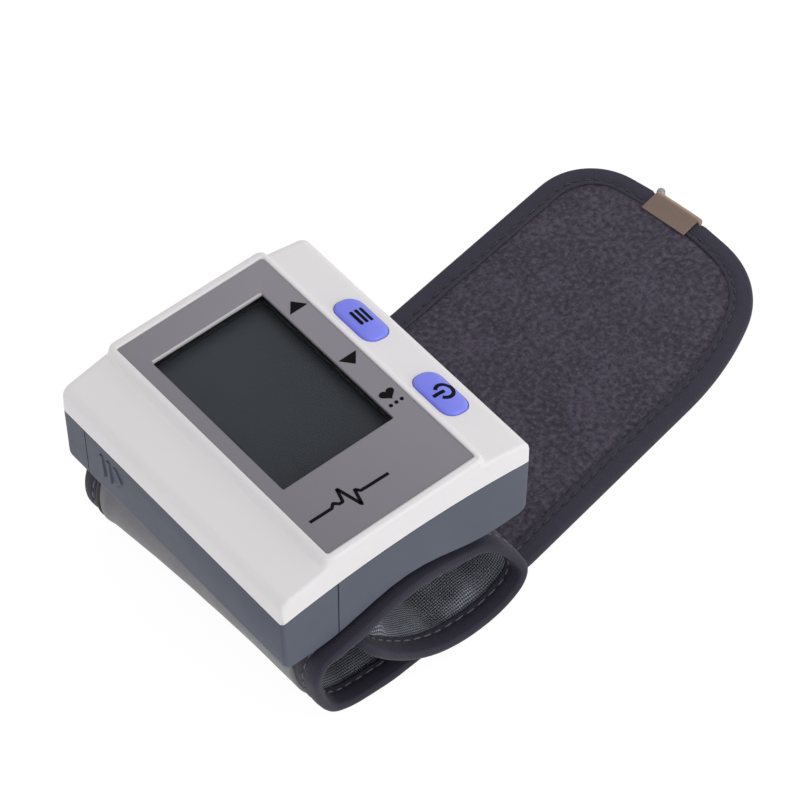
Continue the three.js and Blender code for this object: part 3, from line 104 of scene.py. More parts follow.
class MonitorHousingSettings(bpy.types.PropertyGroup):
    shell_colour: colour_setting("Upper shell", "Colour of the white upper shell", tone("efecee"))
    base_colour: colour_setting(
        "Lower shell", "Colour of the grey lower shell and the battery cover", tone("5a5f6c"))
    edge_angle: FloatProperty(
        name="Edge angle", description="Edges sharper than this stay crisp",
        default=math.radians(32), subtype="ANGLE")
    grain_depth: length_setting("Grain depth", "Depth of the moulded grain", 0.000015, 6)


class MonitorDisplaySettings(bpy.types.PropertyGroup):
    panel_colour: colour_setting("Panel", "Colour of the printed display panel", tone("7f7c84"))
    glass_colour: colour_setting("Display", "Colour of the display when it is off", tone("33373e"))
    ink_colour: colour_setting("Ink", "Colour of the printed signs", tone("0d0d0f"))
    panel_spread: length_setting(
        "Panel spread", "How far the panel fills the clearance round it", 0.00022)
    ink_height: length_setting("Ink height", "Thickness of the printed signs", 0.00006)


class MonitorKeySettings(bpy.types.PropertyGroup):
    key_colour: colour_setting("Keys", "Colour of the two keys", tone("7f87f8"))
    edge_round: length_setting("Edge round", "Radius along the top edge of a key", 0.0011)
    dome: length_setting("Dome", "How far the middle of a key stands over its edge", 0.0003)


class MonitorCuffSettings(bpy.types.PropertyGroup):
    pile_colour: colour_setting("Pile", "Colour of the loop pile on the tongue", tone("48444f"))
    lining_colour: colour_setting(
        "Lining threads", "Colour of the threads of the mesh lining", tone("d2d7e8"))
    cloth_colour: colour_setting(
        "Outer cloth", "Colour of the cloth on the outside of the cuff", tone("3f3d48"))
    tape_colour: colour_setting(
        "Binding", "Colour of the binding tape round the edge", tone("32303e"))
    thread_colour: colour_setting("Stitches", "Colour of the sewing thread", tone("6a6773"))
    loop_tape: length_setting(
        "Binding in the loop", "Width of the binding along the loop's back edge", 0.0044)
    tongue_tape: length_setting("Binding on the tongue", "Width of the binding elsewhere", 0.0056)
    stitch_pitch: length_setting("Stitch pitch", "From one stitch to the next", 0.0034)
    stitch_length: length_setting("Stitch length", "Length of a stitch", 0.0025)
    crease_height: length_setting(
        "Crease height", "Height of the folds across the flap and the left curl", 0.0024)
    pile_height: length_setting("Pile unevenness", "How far the pile rises and falls", 0.0003)


class MonitorTrimSettings(bpy.types.PropertyGroup):
    label_colour: colour_setting(
        "Label", "Colour of the label cloth on the left curl", tone("5e5c63"))
    tab_colour: colour_setting("Tab", "Colour of the folded tape tab", tone("917c70"))
    label_thickness: length_setting("Label thickness", "Thickness of the label cloth", 0.0003)
    tab_thickness: length_setting("Tab thickness", "Thickness of the tab's tape", 0.0004)


class MonitorStageSettings(bpy.types.PropertyGroup):
    floor_colour: colour_setting("Floor", "Colour of the floor", (0.9, 0.9, 0.9))
    sky_level: share_setting("Sky level", "Even light from all round, where 1 is white", 0.42)
    lamp_level: share_setting("Lamp level", "Share of white that the lamps add together", 1.0, 2)
    floor_whiteness: share_setting(
        "Floor whiteness", "How far the floor is lifted to white for the camera", 0.88)


# Meshes from grids of points

def put(name, data):
    """Adds an object with this data to the scene, at the origin."""
    obj = bpy.data.objects.new(name, data)
    bpy.context.scene.collection.objects.link(obj)
    return obj


def grid(points, uv, wrap_rows=False, wrap_cols=False, kind=0):
    """Quads between neighbouring rows and columns of a grid of points.
    uv has one more row or column than the points where the grid closes on itself."""
    rows, cols = points.shape[:2]
    r = np.arange(rows if wrap_rows else rows - 1)[:, None]
    c = np.arange(cols if wrap_cols else cols - 1)[None, :]
    corners = [(r, c), (r, c + 1), (r + 1, c + 1), (r + 1, c)]
    faces = np.stack([(a % rows) * cols + b % cols for a, b in corners], -1).reshape(-1, 4)
    cloth = np.stack([uv[a, b] for a, b in corners], 2).reshape(-1, 4, 2)
    kinds = kind(r, c) if callable(kind) else np.full((r.size, c.size), kind)
    return faces, cloth, np.broadcast_to(kinds, (r.size, c.size)).reshape(-1)


def zip_cap(ring, uv):
    """Quads across a closed ring of an even count: corner k is joined to the one as far from the end."""
    count = len(ring)
    k = np.arange(count // 2 - 1)
    order = [count - 1 - k, count - 2 - k, k + 1, k]
    faces = np.stack([ring[o] for o in order], -1)
    cloth = np.stack([uv[o] for o in order], 1)
    return faces, cloth, np.zeros(len(k), int)


def capped(rings, uv, kind=0):
    """Faces of a body whose rows are closed rings: the quads round it, and a zipped cap at each end."""
    rows, cols = rings.shape[:2]
    ring = np.arange(cols)
    faces, cloth, kinds = zip_cap(ring + (rows - 1) * cols, uv[-1, :-1])
    return [
        grid(rings, uv, wrap_cols=True, kind=kind), zip_cap(ring, uv[0, :-1]),
        (faces[:, ::-1], cloth[:, ::-1], kinds)]


def signed_volume(points, faces):
    """Sum of the tetrahedra from a point to each face, which is negative where the faces look in."""
    first = points[faces[:, 0]]
    fans = [
        np.einsum("ij,ij->i", first, np.cross(points[faces[:, k]], points[faces[:, k + 1]])).sum()
        for k in range(1, faces.shape[1] - 1)
    ]
    return sum(fans) / 6


class Surface:
    """Closed bodies collected for one piece: points, faces, cloth coordinates and kinds of face."""

    def __init__(self):
        self.points, self.faces, self.cloth, self.kinds, self.count = [], [], [], [], 0

    def add(self, points, blocks):
        """Adds one closed body, turned so that its faces look outwards."""
        points = points.reshape(-1, 3)
        middle = points.mean(0)
        inward = sum(signed_volume(points - middle, faces) for faces, _, _ in blocks) < 0
        for faces, cloth, kinds in blocks:
            if inward:
                faces, cloth = faces[:, ::-1], cloth[:, ::-1]
            self.faces.append(faces + self.count)
            self.cloth.append(cloth)
            self.kinds.append(kinds)
        self.points.append(points)
        self.count += len(points)

    def piece(self, name, materials, edge_angle=None):
        """Makes the mesh object, in metres, with its cloth coordinates as a UV map."""
        mesh = bpy.data.meshes.new(name)
        points = np.concatenate(self.points) * MM
        faces = [face for block in self.faces for face in block.tolist()]
        mesh.from_pydata(points.tolist(), [], faces)
        layer = mesh.uv_layers.new(name="cloth")
        layer.data.foreach_set("uv", np.concatenate([c.ravel() for c in self.cloth]))
        for material in materials:
            mesh.materials.append(material)
        mesh.polygons.foreach_set("material_index", np.concatenate(self.kinds).astype(np.int32))
        mesh.polygons.foreach_set("use_smooth", np.ones(len(mesh.polygons), bool))
        if edge_angle is not None:
            mesh.set_sharp_from_angle(angle=edge_angle)
        mesh.update()
        return put(name, mesh)


def lattice(first, second):
    """Every pair of the two rows of values, as a grid."""
    return np.stack(np.meshgrid(first, second, indexing="ij"), -1)


def plain_uv(rows, cols):
    """Cloth coordinates that simply count the rows and columns."""
    return lattice(np.arange(rows), np.arange(cols)).astype(float)


def there_and_back(there, back):
    """Closed rings that run along the rows of one grid and come back along those of the other."""
    return np.concatenate([there, back[:, ::-1]], 1)


def closed(uv):
    """Cloth coordinates of closed rings, in which the first column comes again at the end."""
    return np.concatenate([uv, uv[:, :1]], 1)


def loft(surface, rings):
    """A body through rings of points, with both ends zipped shut."""
    rows, cols = rings.shape[:2]
    surface.add(rings, capped(rings, plain_uv(rows, cols + 1)))


def with_height(flat, z):
    """Points of a flat outline, each with its height."""
    return np.concatenate([flat, np.broadcast_to(z, flat.shape[:-1])[..., None]], -1)


def circle(count):
    """Angles of even steps once round."""
    return np.linspace(0, 2 * math.pi, count + 1)[:-1]


def run_along(line):
    """How far each point of a line is from its start, measured along it."""
    return np.concatenate([[0], np.cumsum(np.linalg.norm(np.diff(line, axis=0), axis=1))])


def along(points, count):
    """Even steps along a line of points."""
    points = np.asarray(points, float)
    run = run_along(points)
    steps = np.linspace(0, run[-1], count)
    return np.stack([np.interp(steps, run, points[:, k]) for k in range(points.shape[1])], -1)


def leftwards(step):
    """Unit vectors to the left of each step."""
    side = np.stack([-step[:, 1], step[:, 0]], -1)
    return side / np.linalg.norm(side, axis=1)[:, None]


def smoothed(values, count, ends):
    """A running mean weighed by a raised cosine; ends says how the values go on past both ends."""
    soft = np.hanning(count) / np.hanning(count).sum()
    return np.convolve(np.pad(values, count // 2, mode=ends), soft, mode="valid")


def rounded_outline(width, length, radius, per_corner=8):
    """Quarter circles round the corners of a rectangle: corner centre plus radius times cosine and sine."""
    turn = (np.arange(4)[:, None] + np.linspace(0, 1, per_corner)) * math.pi / 2
    x = (width / 2 - radius) * np.array([1, -1, -1, 1])[:, None] + radius * np.cos(turn)
    y = (length / 2 - radius) * np.array([1, 1, -1, -1])[:, None] + radius * np.sin(turn)
    return np.stack([x, y], -1).reshape(-1, 2)


def smooth_step(x, start, end):
    """0 before start, 1 after end, and an even rise between them."""
    share = np.clip((x - start) / (end - start), 0, 1)
    return share * share * (3 - 2 * share)


def lumps(u, v, pitch, seed):
    """Soft random heights between -1 and 1: values at the knots of a lattice, blended with a smooth step."""
    knots = 64
    table = np.random.default_rng(seed).uniform(-1, 1, (knots, knots))
    u, v = u / pitch, v / pitch
    i, j = np.floor(u).astype(int), np.floor(v).astype(int)
    a, b = smooth_step(u - i, 0, 1), smooth_step(v - j, 0, 1)

    def at(p, q):
        return table[p % knots, q % knots]

    near = at(i, j) * (1 - a) + at(i + 1, j) * a
    far = at(i, j + 1) * (1 - a) + at(i + 1, j + 1) * a
    return near * (1 - b) + far * b


# Materials

class Wire:
    """A value in a graph; the signs of arithmetic lay math nodes."""

    def __init__(self, graph, socket):
        self.graph, self.socket = graph, socket

    def __add__(self, other):
        return self.graph.math("ADD", self, other)

    def __sub__(self, other):
        return self.graph.math("SUBTRACT", self, other)

    def __rsub__(self, other):
        return self.graph.math("SUBTRACT", other, self)

    def __mul__(self, other):
        return self.graph.math("MULTIPLY", self, other)

    def __truediv__(self, other):
        return self.graph.math("DIVIDE", self, other)

    def __rtruediv__(self, other):
        return self.graph.math("DIVIDE", other, self)

    def __abs__(self):
        return self.graph.math("ABSOLUTE", self)

    def wave(self):
        """The sine, moved to run between 0 and 1."""
        return self.graph.math("SINE", self) * 0.5 + 0.5

    def remap(self, low, high, new_low=0.0, new_high=1.0):
        """Moves the value from one range to another, held at both ends."""
        return self.graph.wire("ShaderNodeMapRange", {
            "Value": self, "From Min": low, "From Max": high, "To Min": new_low, "To Max": new_high})


class Graph:
    """A shader node tree in which short calls lay nodes and give back wires."""

    def __init__(self, tree):
        self.tree = tree

    def feed(self, socket, value):
        """Joins a wire to a socket, or sets a plain value on it."""
        if isinstance(value, Wire):
            self.tree.links.new(value.socket, socket)
        else:
            socket.default_value = value

    def node(self, kind, inputs=(), **settings):
        """A node with its settings; inputs hold plain values or wires."""
        node = self.tree.nodes.new(kind)
        for name, value in settings.items():
            setattr(node, name, value)
        for key, value in dict(inputs).items():
            self.feed(node.inputs[key], value)
        return node

    def wire(self, kind, inputs=(), output=0, **settings):
        """One output of a new node."""
        return Wire(self, self.node(kind, inputs, **settings).outputs[output])

    def math(self, operation, *values, clamp=False):
        return self.wire(
            "ShaderNodeMath", enumerate(values), operation=operation, use_clamp=clamp)

    def mix(self, share, first, second):
        """Mixes two colours by a share."""
        first, second = (c if isinstance(c, Wire) else (*c, 1.0) for c in (first, second))
        return self.wire(
            "ShaderNodeMix", {0: share, 6: first, 7: second}, output=2, data_type="RGBA")

    def mix_shader(self, share, first, second):
        return self.wire("ShaderNodeMixShader", {0: share, 1: first, 2: second})

    def noise(self, vector, scale, detail=2.0, roughness=0.5):
        return self.wire("ShaderNodeTexNoise", {
            "Vector": vector, "Scale": scale, "Detail": detail, "Roughness": roughness})

    def split(self, vector):
        """The X, Y and Z of a vector."""
        return [Wire(self, out) for out in self.node("ShaderNodeSeparateXYZ", {0: vector}).outputs]

    def object_place(self):
        return self.wire("ShaderNodeTexCoord", output="Object")

    def cloth_place(self):
        return self.wire("ShaderNodeUVMap", uv_map="cloth")

    def seen_by(self, *kinds):
        """1 for a ray of one of these kinds, 0 for any other."""
        path = self.node("ShaderNodeLightPath").outputs
        seen = Wire(self, path[f"Is {kinds[0]} Ray"])
        for kind in kinds[1:]:
            seen = self.math("MAXIMUM", seen, Wire(self, path[f"Is {kind} Ray"]))
        return seen

    def shared(self, name, inputs):
        """The outputs of a shared group, which is built the first time that it is asked for."""
        if name not in built_groups:
            built_groups[name] = build_group(name)
        node = self.node("ShaderNodeGroup", inputs, node_tree=built_groups[name])
        return {out.name: Wire(self, out) for out in node.outputs}


class Finish(Graph):
    """A material with a Principled shader whose plain values are set on its own sockets."""

    def __init__(self, name, **plain):
        self.material = bpy.data.materials.new(name)
        self.material.use_nodes = True
        super().__init__(self.material.node_tree)
        self.shader = self.tree.nodes["Principled BSDF"]
        self.set(**plain)

    def set(self, **values):
        """Gives sockets of the shader, named in lower case, plain values or wires."""
        for name, value in values.items():
            socket = name.replace("_", " ").title().replace("Ior", "IOR")
            self.feed(self.shader.inputs[socket], value)

    def bump(self, height, distance):
        self.set(normal=self.wire(
            "ShaderNodeBump", {"Height": height, "Distance": distance, "Strength": 1.0}))


def moulded_grain(group, given):
    """Fine spark-eroded grain of moulded plastic, with slow changes in tone and gloss."""
    vector, patches = given["Vector"], given["Patch Scale"]
    return {
        "Height": group.noise(vector, given["Scale"], 3.0, 0.6),
        "Tone": group.noise(vector, patches).remap(0.3, 0.7),
        "Gloss": group.noise(vector, patches * 5.0, 3.0, 0.6).remap(0.35, 0.7)}


def cross_threads(group, given):
    """Threads along and across a cloth: each is a rounded ridge, and crossings stand highest.
    The height is the larger of the two ridges, each lifted where it passes over the other."""
    shift = (group.noise(given["Cloth"], 0.35) - 0.5) * given["Wander"]
    ridges, turns = [], []
    for axis, pitch in zip(group.split(given["Cloth"]), ("Along Pitch", "Across Pitch")):
        place = axis / given[pitch] + shift * 6.0
        away = abs(group.math("FRACT", place) - 0.5)
        ridges.append((away / given["Width"]).remap(0.0, 1.0, 1.0, 0.0))
        turns.append(group.math("FLOOR", place))
    parity = group.math("MODULO", abs(turns[0] + turns[1]), 2.0)
    over = ridges[0] * (parity * 0.4 + 0.6)
    under = ridges[1] * ((1.0 - parity) * 0.4 + 0.6)
    return {
        "Height": group.math("MAXIMUM", over, under), "Thread": group.math("MAXIMUM", *ridges),
        "Knot": ridges[0] * ridges[1]}


def tufts(group, given):
    """Matted loop pile: clumps of fibres of two sizes; their height, given as Shade, paints shade into the
    gaps between them.
    """
    vector, clump_size = given["Vector"], given["Clump Size"]
    fibre = group.noise(vector, 1.9 / clump_size, 2.0, 0.6)
    height = group.noise(vector, 1.0 / clump_size, 1.5) * 0.6 + fibre * 0.4
    patch = group.noise(vector, 1.0 / given["Patch Size"])
    return {
        "Height": height, "Shade": height.remap(0.36, 0.64), "Patch": patch.remap(0.35, 0.65)}


def tape_ribs(group, given):
    """Woven binding tape: ribs that run across the tape, fine warp threads along it."""
    along_tape, across_tape, _ = group.split(given["Cloth"])
    uneven = group.noise(given["Cloth"], 0.8) * 0.9
    rib = ((along_tape / given["Pitch"] + uneven) * (2 * math.pi)).wave()
    warp = group.math("SINE", across_tape / given["Warp Pitch"] * (2 * math.pi))
    return {
        "Height": rib + warp * 0.18, "Rib": rib,
        "Fade": group.noise(given["Cloth"], 0.12, 3.0, 0.6).remap(0.3, 0.7)}


# The shared groups with their inputs and defaults; an input without a default is a vector
group_makers = {
    "moulded_grain": (moulded_grain, {"Vector": None, "Scale": 2500.0, "Patch Scale": 45.0}),
    "cross_threads": (cross_threads, {
        "Cloth": None, "Along Pitch": 0.65, "Across Pitch": 0.65, "Width": 0.5, "Wander": 0.08}),
    "tufts": (tufts, {"Vector": None, "Clump Size": 1.4, "Patch Size": 14.0}),
    "tape_ribs": (tape_ribs, {"Cloth": None, "Pitch": 0.52, "Warp Pitch": 0.3}),
}
built_groups = {}


def build_group(name):
    """A shader node group with its named sockets."""
    maker, inputs = group_makers[name]
    tree = bpy.data.node_groups.new(name, "ShaderNodeTree")
    for socket, default in inputs.items():
        kind = "NodeSocketVector" if default is None else "NodeSocketFloat"
        made = tree.interface.new_socket(socket, in_out="INPUT", socket_type=kind)
        if default is not None:
            made.default_value = default
    group = Graph(tree)
    entry = group.node("NodeGroupInput").outputs
    results = maker(group, {socket: Wire(group, entry[socket]) for socket in inputs})
    for socket in results:
        tree.interface.new_socket(socket, in_out="OUTPUT", socket_type="NodeSocketFloat")
    group.node("NodeGroupOutput", results)
    return tree


def plastic(
        name, colour, roughness, grain=0.000012, scale=2500.0, depth=0.03, metallic=0.0,
        wear=0.04, **plain):
    """Moulded or plain finish: a colour with slow variation, a fine grain and handled gloss."""
    finish = Finish(name, metallic=metallic, **plain)
    grains = finish.shared("moulded_grain", {"Vector": finish.object_place(), "Scale": scale})
    light = tuple(min(1.0, c) for c in tint(colour, 1 + depth * 0.6))
    finish.set(
        base_color=finish.mix(grains["Tone"], tint(colour, 1 - depth), light),
        roughness=grains["Gloss"].remap(0.0, 1.0, roughness - wear, roughness + wear))
    finish.bump(grains["Height"], grain)
    return finish.material


def ink_finish(name, colour):
    return plastic(
        name, tuple(colour), 0.6, grain=0.000006, scale=4000.0, specular_ior_level=0.05)


def pile_cloth(colour):
    """Loop pile: painted shade at the clumps' roots and a painted highlight on their tips, with a soft sheen.
    """
    finish = Finish(
        "pile_cloth", roughness=0.95, sheen_weight=0.15, sheen_roughness=0.5, specular_ior_level=0.1)
    tuft = finish.shared("tufts", {"Vector": finish.cloth_place()})
    base = finish.mix(tuft["Patch"], tint(colour, 0.85), tint(colour, 1.2, 1.13, 1.22))
    # Painted shade in the gaps between clumps and a painted highlight on their tips, from the pile's height;
    # the patches are the pile's own mottling
    low = finish.mix(tuft["Shade"].remap(0.0, 0.5), tint(colour, 0.6), base)
    finish.set(base_color=finish.mix(tuft["Shade"].remap(0.5, 1.0), low, tint(colour, 1.6)))
    finish.bump(tuft["Height"], 0.0004)
    return finish.material


def woven(
        name, thread, gap, pitch, width, depth, sheen=0.15, roughness=0.75, wander=0.08,
        highlight_band=None):
    """Woven cloth: threads over a darker gap, with a painted highlight where they cross, painted sheen in
    large patches and a painted highlight in a band.
    """
    finish = Finish(
        name, roughness=roughness, sheen_weight=sheen, sheen_roughness=0.4, specular_ior_level=0.3)
    cloth = finish.cloth_place()
    weave = finish.shared("cross_threads", {
        "Cloth": cloth, "Along Pitch": pitch, "Across Pitch": pitch, "Width": width, "Wander": wander})
    dull = tuple(0.62 * t + 0.38 * g for t, g in zip(thread, gap))
    # Painted sheen: threads lighter in large patches, as where they catch the light
    painted_sheen = finish.mix(finish.noise(cloth, 0.09, 3.0, 0.6).remap(0.35, 0.65), dull, thread)
    # Painted highlight: threads lighter where they stand higher, brightest where they cross
    share = finish.math("ADD", weave["Height"] * 0.6, weave["Knot"] * 0.7, clamp=True)
    full = finish.mix(share, gap, painted_sheen)
    if highlight_band:
        along_cloth = finish.split(cloth)[0]
        start, end = highlight_band
        rise = along_cloth.remap(start - 0.4, start + 0.4)
        fall = along_cloth.remap(end - 0.4, end + 0.4, 1.0, 0.0)
        # Painted highlight along a band of the cloth
        full = finish.mix(rise * fall, full, tint(thread, 1.45, 1.32, 1.3))
    finish.set(base_color=full)
    finish.bump(weave["Height"], depth)
    return finish.material


def on_tongue(finish):
    """0 on the loop and 1 on the tongue, with a rise where they meet."""
    return finish.split(finish.object_place())[0].remap(0.03, 0.045)


def binding(colour, girth):
    """Binding tape: faint ribs with painted shade in their valleys, deeper on the loop than on the tongue,
    faded in places, and a painted highlight along both of its inner edges; girth is the cloth coordinate at
    which the way round the edge ends."""
    finish = Finish(
        "binding_tape", roughness=0.7, sheen_weight=0.1, sheen_roughness=0.35, specular_ior_level=0.25)
    cloth = finish.cloth_place()
    ribs = finish.shared("tape_ribs", {"Cloth": cloth})
    # Painted shade in the ribs' valleys, darker on the loop than on the tongue
    groove = finish.mix(on_tongue(finish), tint(colour, 0.62), tint(colour, 0.9))
    across = finish.split(cloth)[1]
    from_lip = finish.math("MINIMUM", across, girth - across)
    crest = finish.mix(ribs["Fade"], colour, tint(colour, 1.25))
    # Painted highlight along the tape's raised inner edges
    crest = finish.mix(from_lip.remap(1.1, 1.5, 1.0, 0.0), crest, tint(colour, 1.6))
    finish.set(base_color=finish.mix(ribs["Rib"], groove, crest))
    finish.bump(ribs["Height"], 0.00004)
    return finish.material


def sewing_thread(colour):
    """Twisted thread: slanted strands that run round each stitch; darker thread on the tongue."""
    finish = Finish("sewing_thread", roughness=0.6, sheen_weight=0.2, specular_ior_level=0.35)
    along_stitch, round_stitch, _ = finish.split(finish.cloth_place())
    strand = (along_stitch * 9.0 + round_stitch).wave()
    pale = finish.mix(strand, tint(colour, 0.55), colour)
    finish.set(base_color=finish.mix(on_tongue(finish), pale, tint(colour, 0.1)))
    finish.bump(strand, 0.00006)
    return finish.material


# Housing

def smooth_copy(node, name, body, material, angle):
    """A copy of a CAD node with its doubles merged, so that its rounds shade smoothly."""
    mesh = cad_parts[node].data.copy()
    mesh.name = name
    merge = 0.002 * MM
    work = bmesh.new()
    work.from_mesh(mesh)
    bmesh.ops.remove_doubles(work, verts=work.verts, dist=merge)
    bmesh.ops.dissolve_degenerate(work, edges=work.edges, dist=merge)
    work.to_mesh(mesh)
    work.free()
    mesh.polygons.foreach_set("use_smooth", np.ones(len(mesh.polygons), bool))
    mesh.set_sharp_from_angle(angle=angle)
    mesh.materials.clear()
    mesh.materials.append(material)
    obj = put(name, mesh)
    shade = obj.modifiers.new("even_faces", "WEIGHTED_NORMAL")
    shade.keep_sharp = True
    shade.weight = 90
    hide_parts(node)
    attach(obj, body)
    return obj


class MONITOR_OT_housing(bpy.types.Operator):
    """Dresses the upper shell, the lower shell and the battery cover"""

    bl_idname = "monitor.housing"
    bl_label = "Housing"

    def execute(self, context):
        size = context.scene.monitor_housing
        white = plastic(
            "white_shell", tuple(size.shell_colour), 0.36, grain=size.grain_depth, depth=0.012,
            wear=0.01, specular_ior_level=0.45)
        grey = plastic(
            "grey_shell", tuple(size.base_colour), 0.5, grain=size.grain_depth, depth=0.05,
            wear=0.03, specular_ior_level=0.12)
        parts = (
            ("upper_shell", "upper_housing", "monitor", white, "white_shell"),
            ("lower_shell", "lower_housing", "monitor", grey, "grey_shell"),
            ("battery_cover", "sliding_cover", "cover", grey, "grey_shell"),
        )
        for node, name, body, material, slot in parts:
            smooth_copy(node, name, body, material, size.edge_angle)
        return {"FINISHED"}


# Display

WINDOW_WIDTH, WINDOW_LENGTH = 30.1, 44.5
PANEL_BEVEL = 0.12
PANEL_ROUND, WINDOW_ROUND = 0.3, 0.4
# How far the display's painted shading reaches to each side of the window's middle
SHADE_REACH = 22
# How much farther in the wall at the window's back comes than the other walls
BACK_WALL = 0.35
# The pulse line, from left to right
BEAT = np.array([
    (-11.4, -26.9), (-5.6, -27.0), (-4.6, -26.1), (-3.6, -27.1), (-2.7, -27.1), (-1.6, -23.6),
    (0.0, -30.2), (1.2, -26.1), (2.0, -27.2), (4.4, -27.3), (9.4, -27.4)]) - [6.3, 0.0]


def drawn_in(outline, by):
    """An outline round the origin, scaled so that its widest points come in by a distance."""
    return outline * (1 - by / np.abs(outline).max(0))


def ring_plate(surface, outer, inner, z0, z1, bevel):
    """A plate with a window: matching outlines joined in rings, with both top edges bevelled.
    The bevel and the wall at the window's back are of the second kind, which gets a painted highlight."""
    rings = np.stack([
        with_height(outline, z) for outline, z in (
            (outer, z0), (outer, z1 - bevel), (drawn_in(outer, bevel), z1),
            (inner[1], z1), (inner[0], z1 - bevel), (inner[0], z0))])
    back = len(outer) // 4 - 1

    def kind(r, c):
        return np.where((r >= 3) & (r <= 4) & (np.abs(c - back) <= 2), 1, 0)

    uv = plain_uv(len(rings) + 1, len(outer) + 1)
    surface.add(rings, [grid(rings, uv, wrap_rows=True, wrap_cols=True, kind=kind)])


def blob_mark(surface, outline, height_at, thickness):
    """A printed spot: underside and top fan out from the middle to a star-shaped outline."""
    middle = outline.mean(0)
    flat = middle + (outline - middle) * np.array([0.05, 1.0, 1.0, 0.05])[:, None, None]
    lift = np.array([-0.5, -0.5, 1.0, 1.0])[:, None] * thickness
    loft(surface, with_height(flat, height_at(flat[..., 0], flat[..., 1]) + lift))


def stroke_mark(surface, path, width, height_at, thickness):
    """A printed line: the path widened to both sides, as a thin strip."""
    side = leftwards(np.gradient(path, axis=0)) * width / 2
    left, right = path + side, path - side
    flat = np.stack([left, right, right, left], 1)
    lift = np.array([1.0, 1.0, -0.5, -0.5]) * thickness
    loft(surface, with_height(flat, height_at(flat[..., 0], flat[..., 1]) + lift))


def turned(outline, x, y):
    """A sign on a key, its top to the left."""
    return np.stack([x - outline[:, 1], y + outline[:, 0]], -1)


def triangle():
    """Even steps round a triangle about one unit wide and high, its tip at the top."""
    corners = np.array([[-0.5, -0.42], [0.5, -0.42], [0.0, 0.5], [-0.5, -0.42]])
    return along(corners, 31)[:-1]


def heart():
    """x is the cube of a sine, y a sum of four cosines."""
    t = circle(48)
    x = 16 * np.sin(t) ** 3
    y = 13 * np.cos(t) - 5 * np.cos(2 * t) - 2 * np.cos(3 * t) - np.cos(4 * t)
    return np.stack([x, y + 2.5], -1) / 33


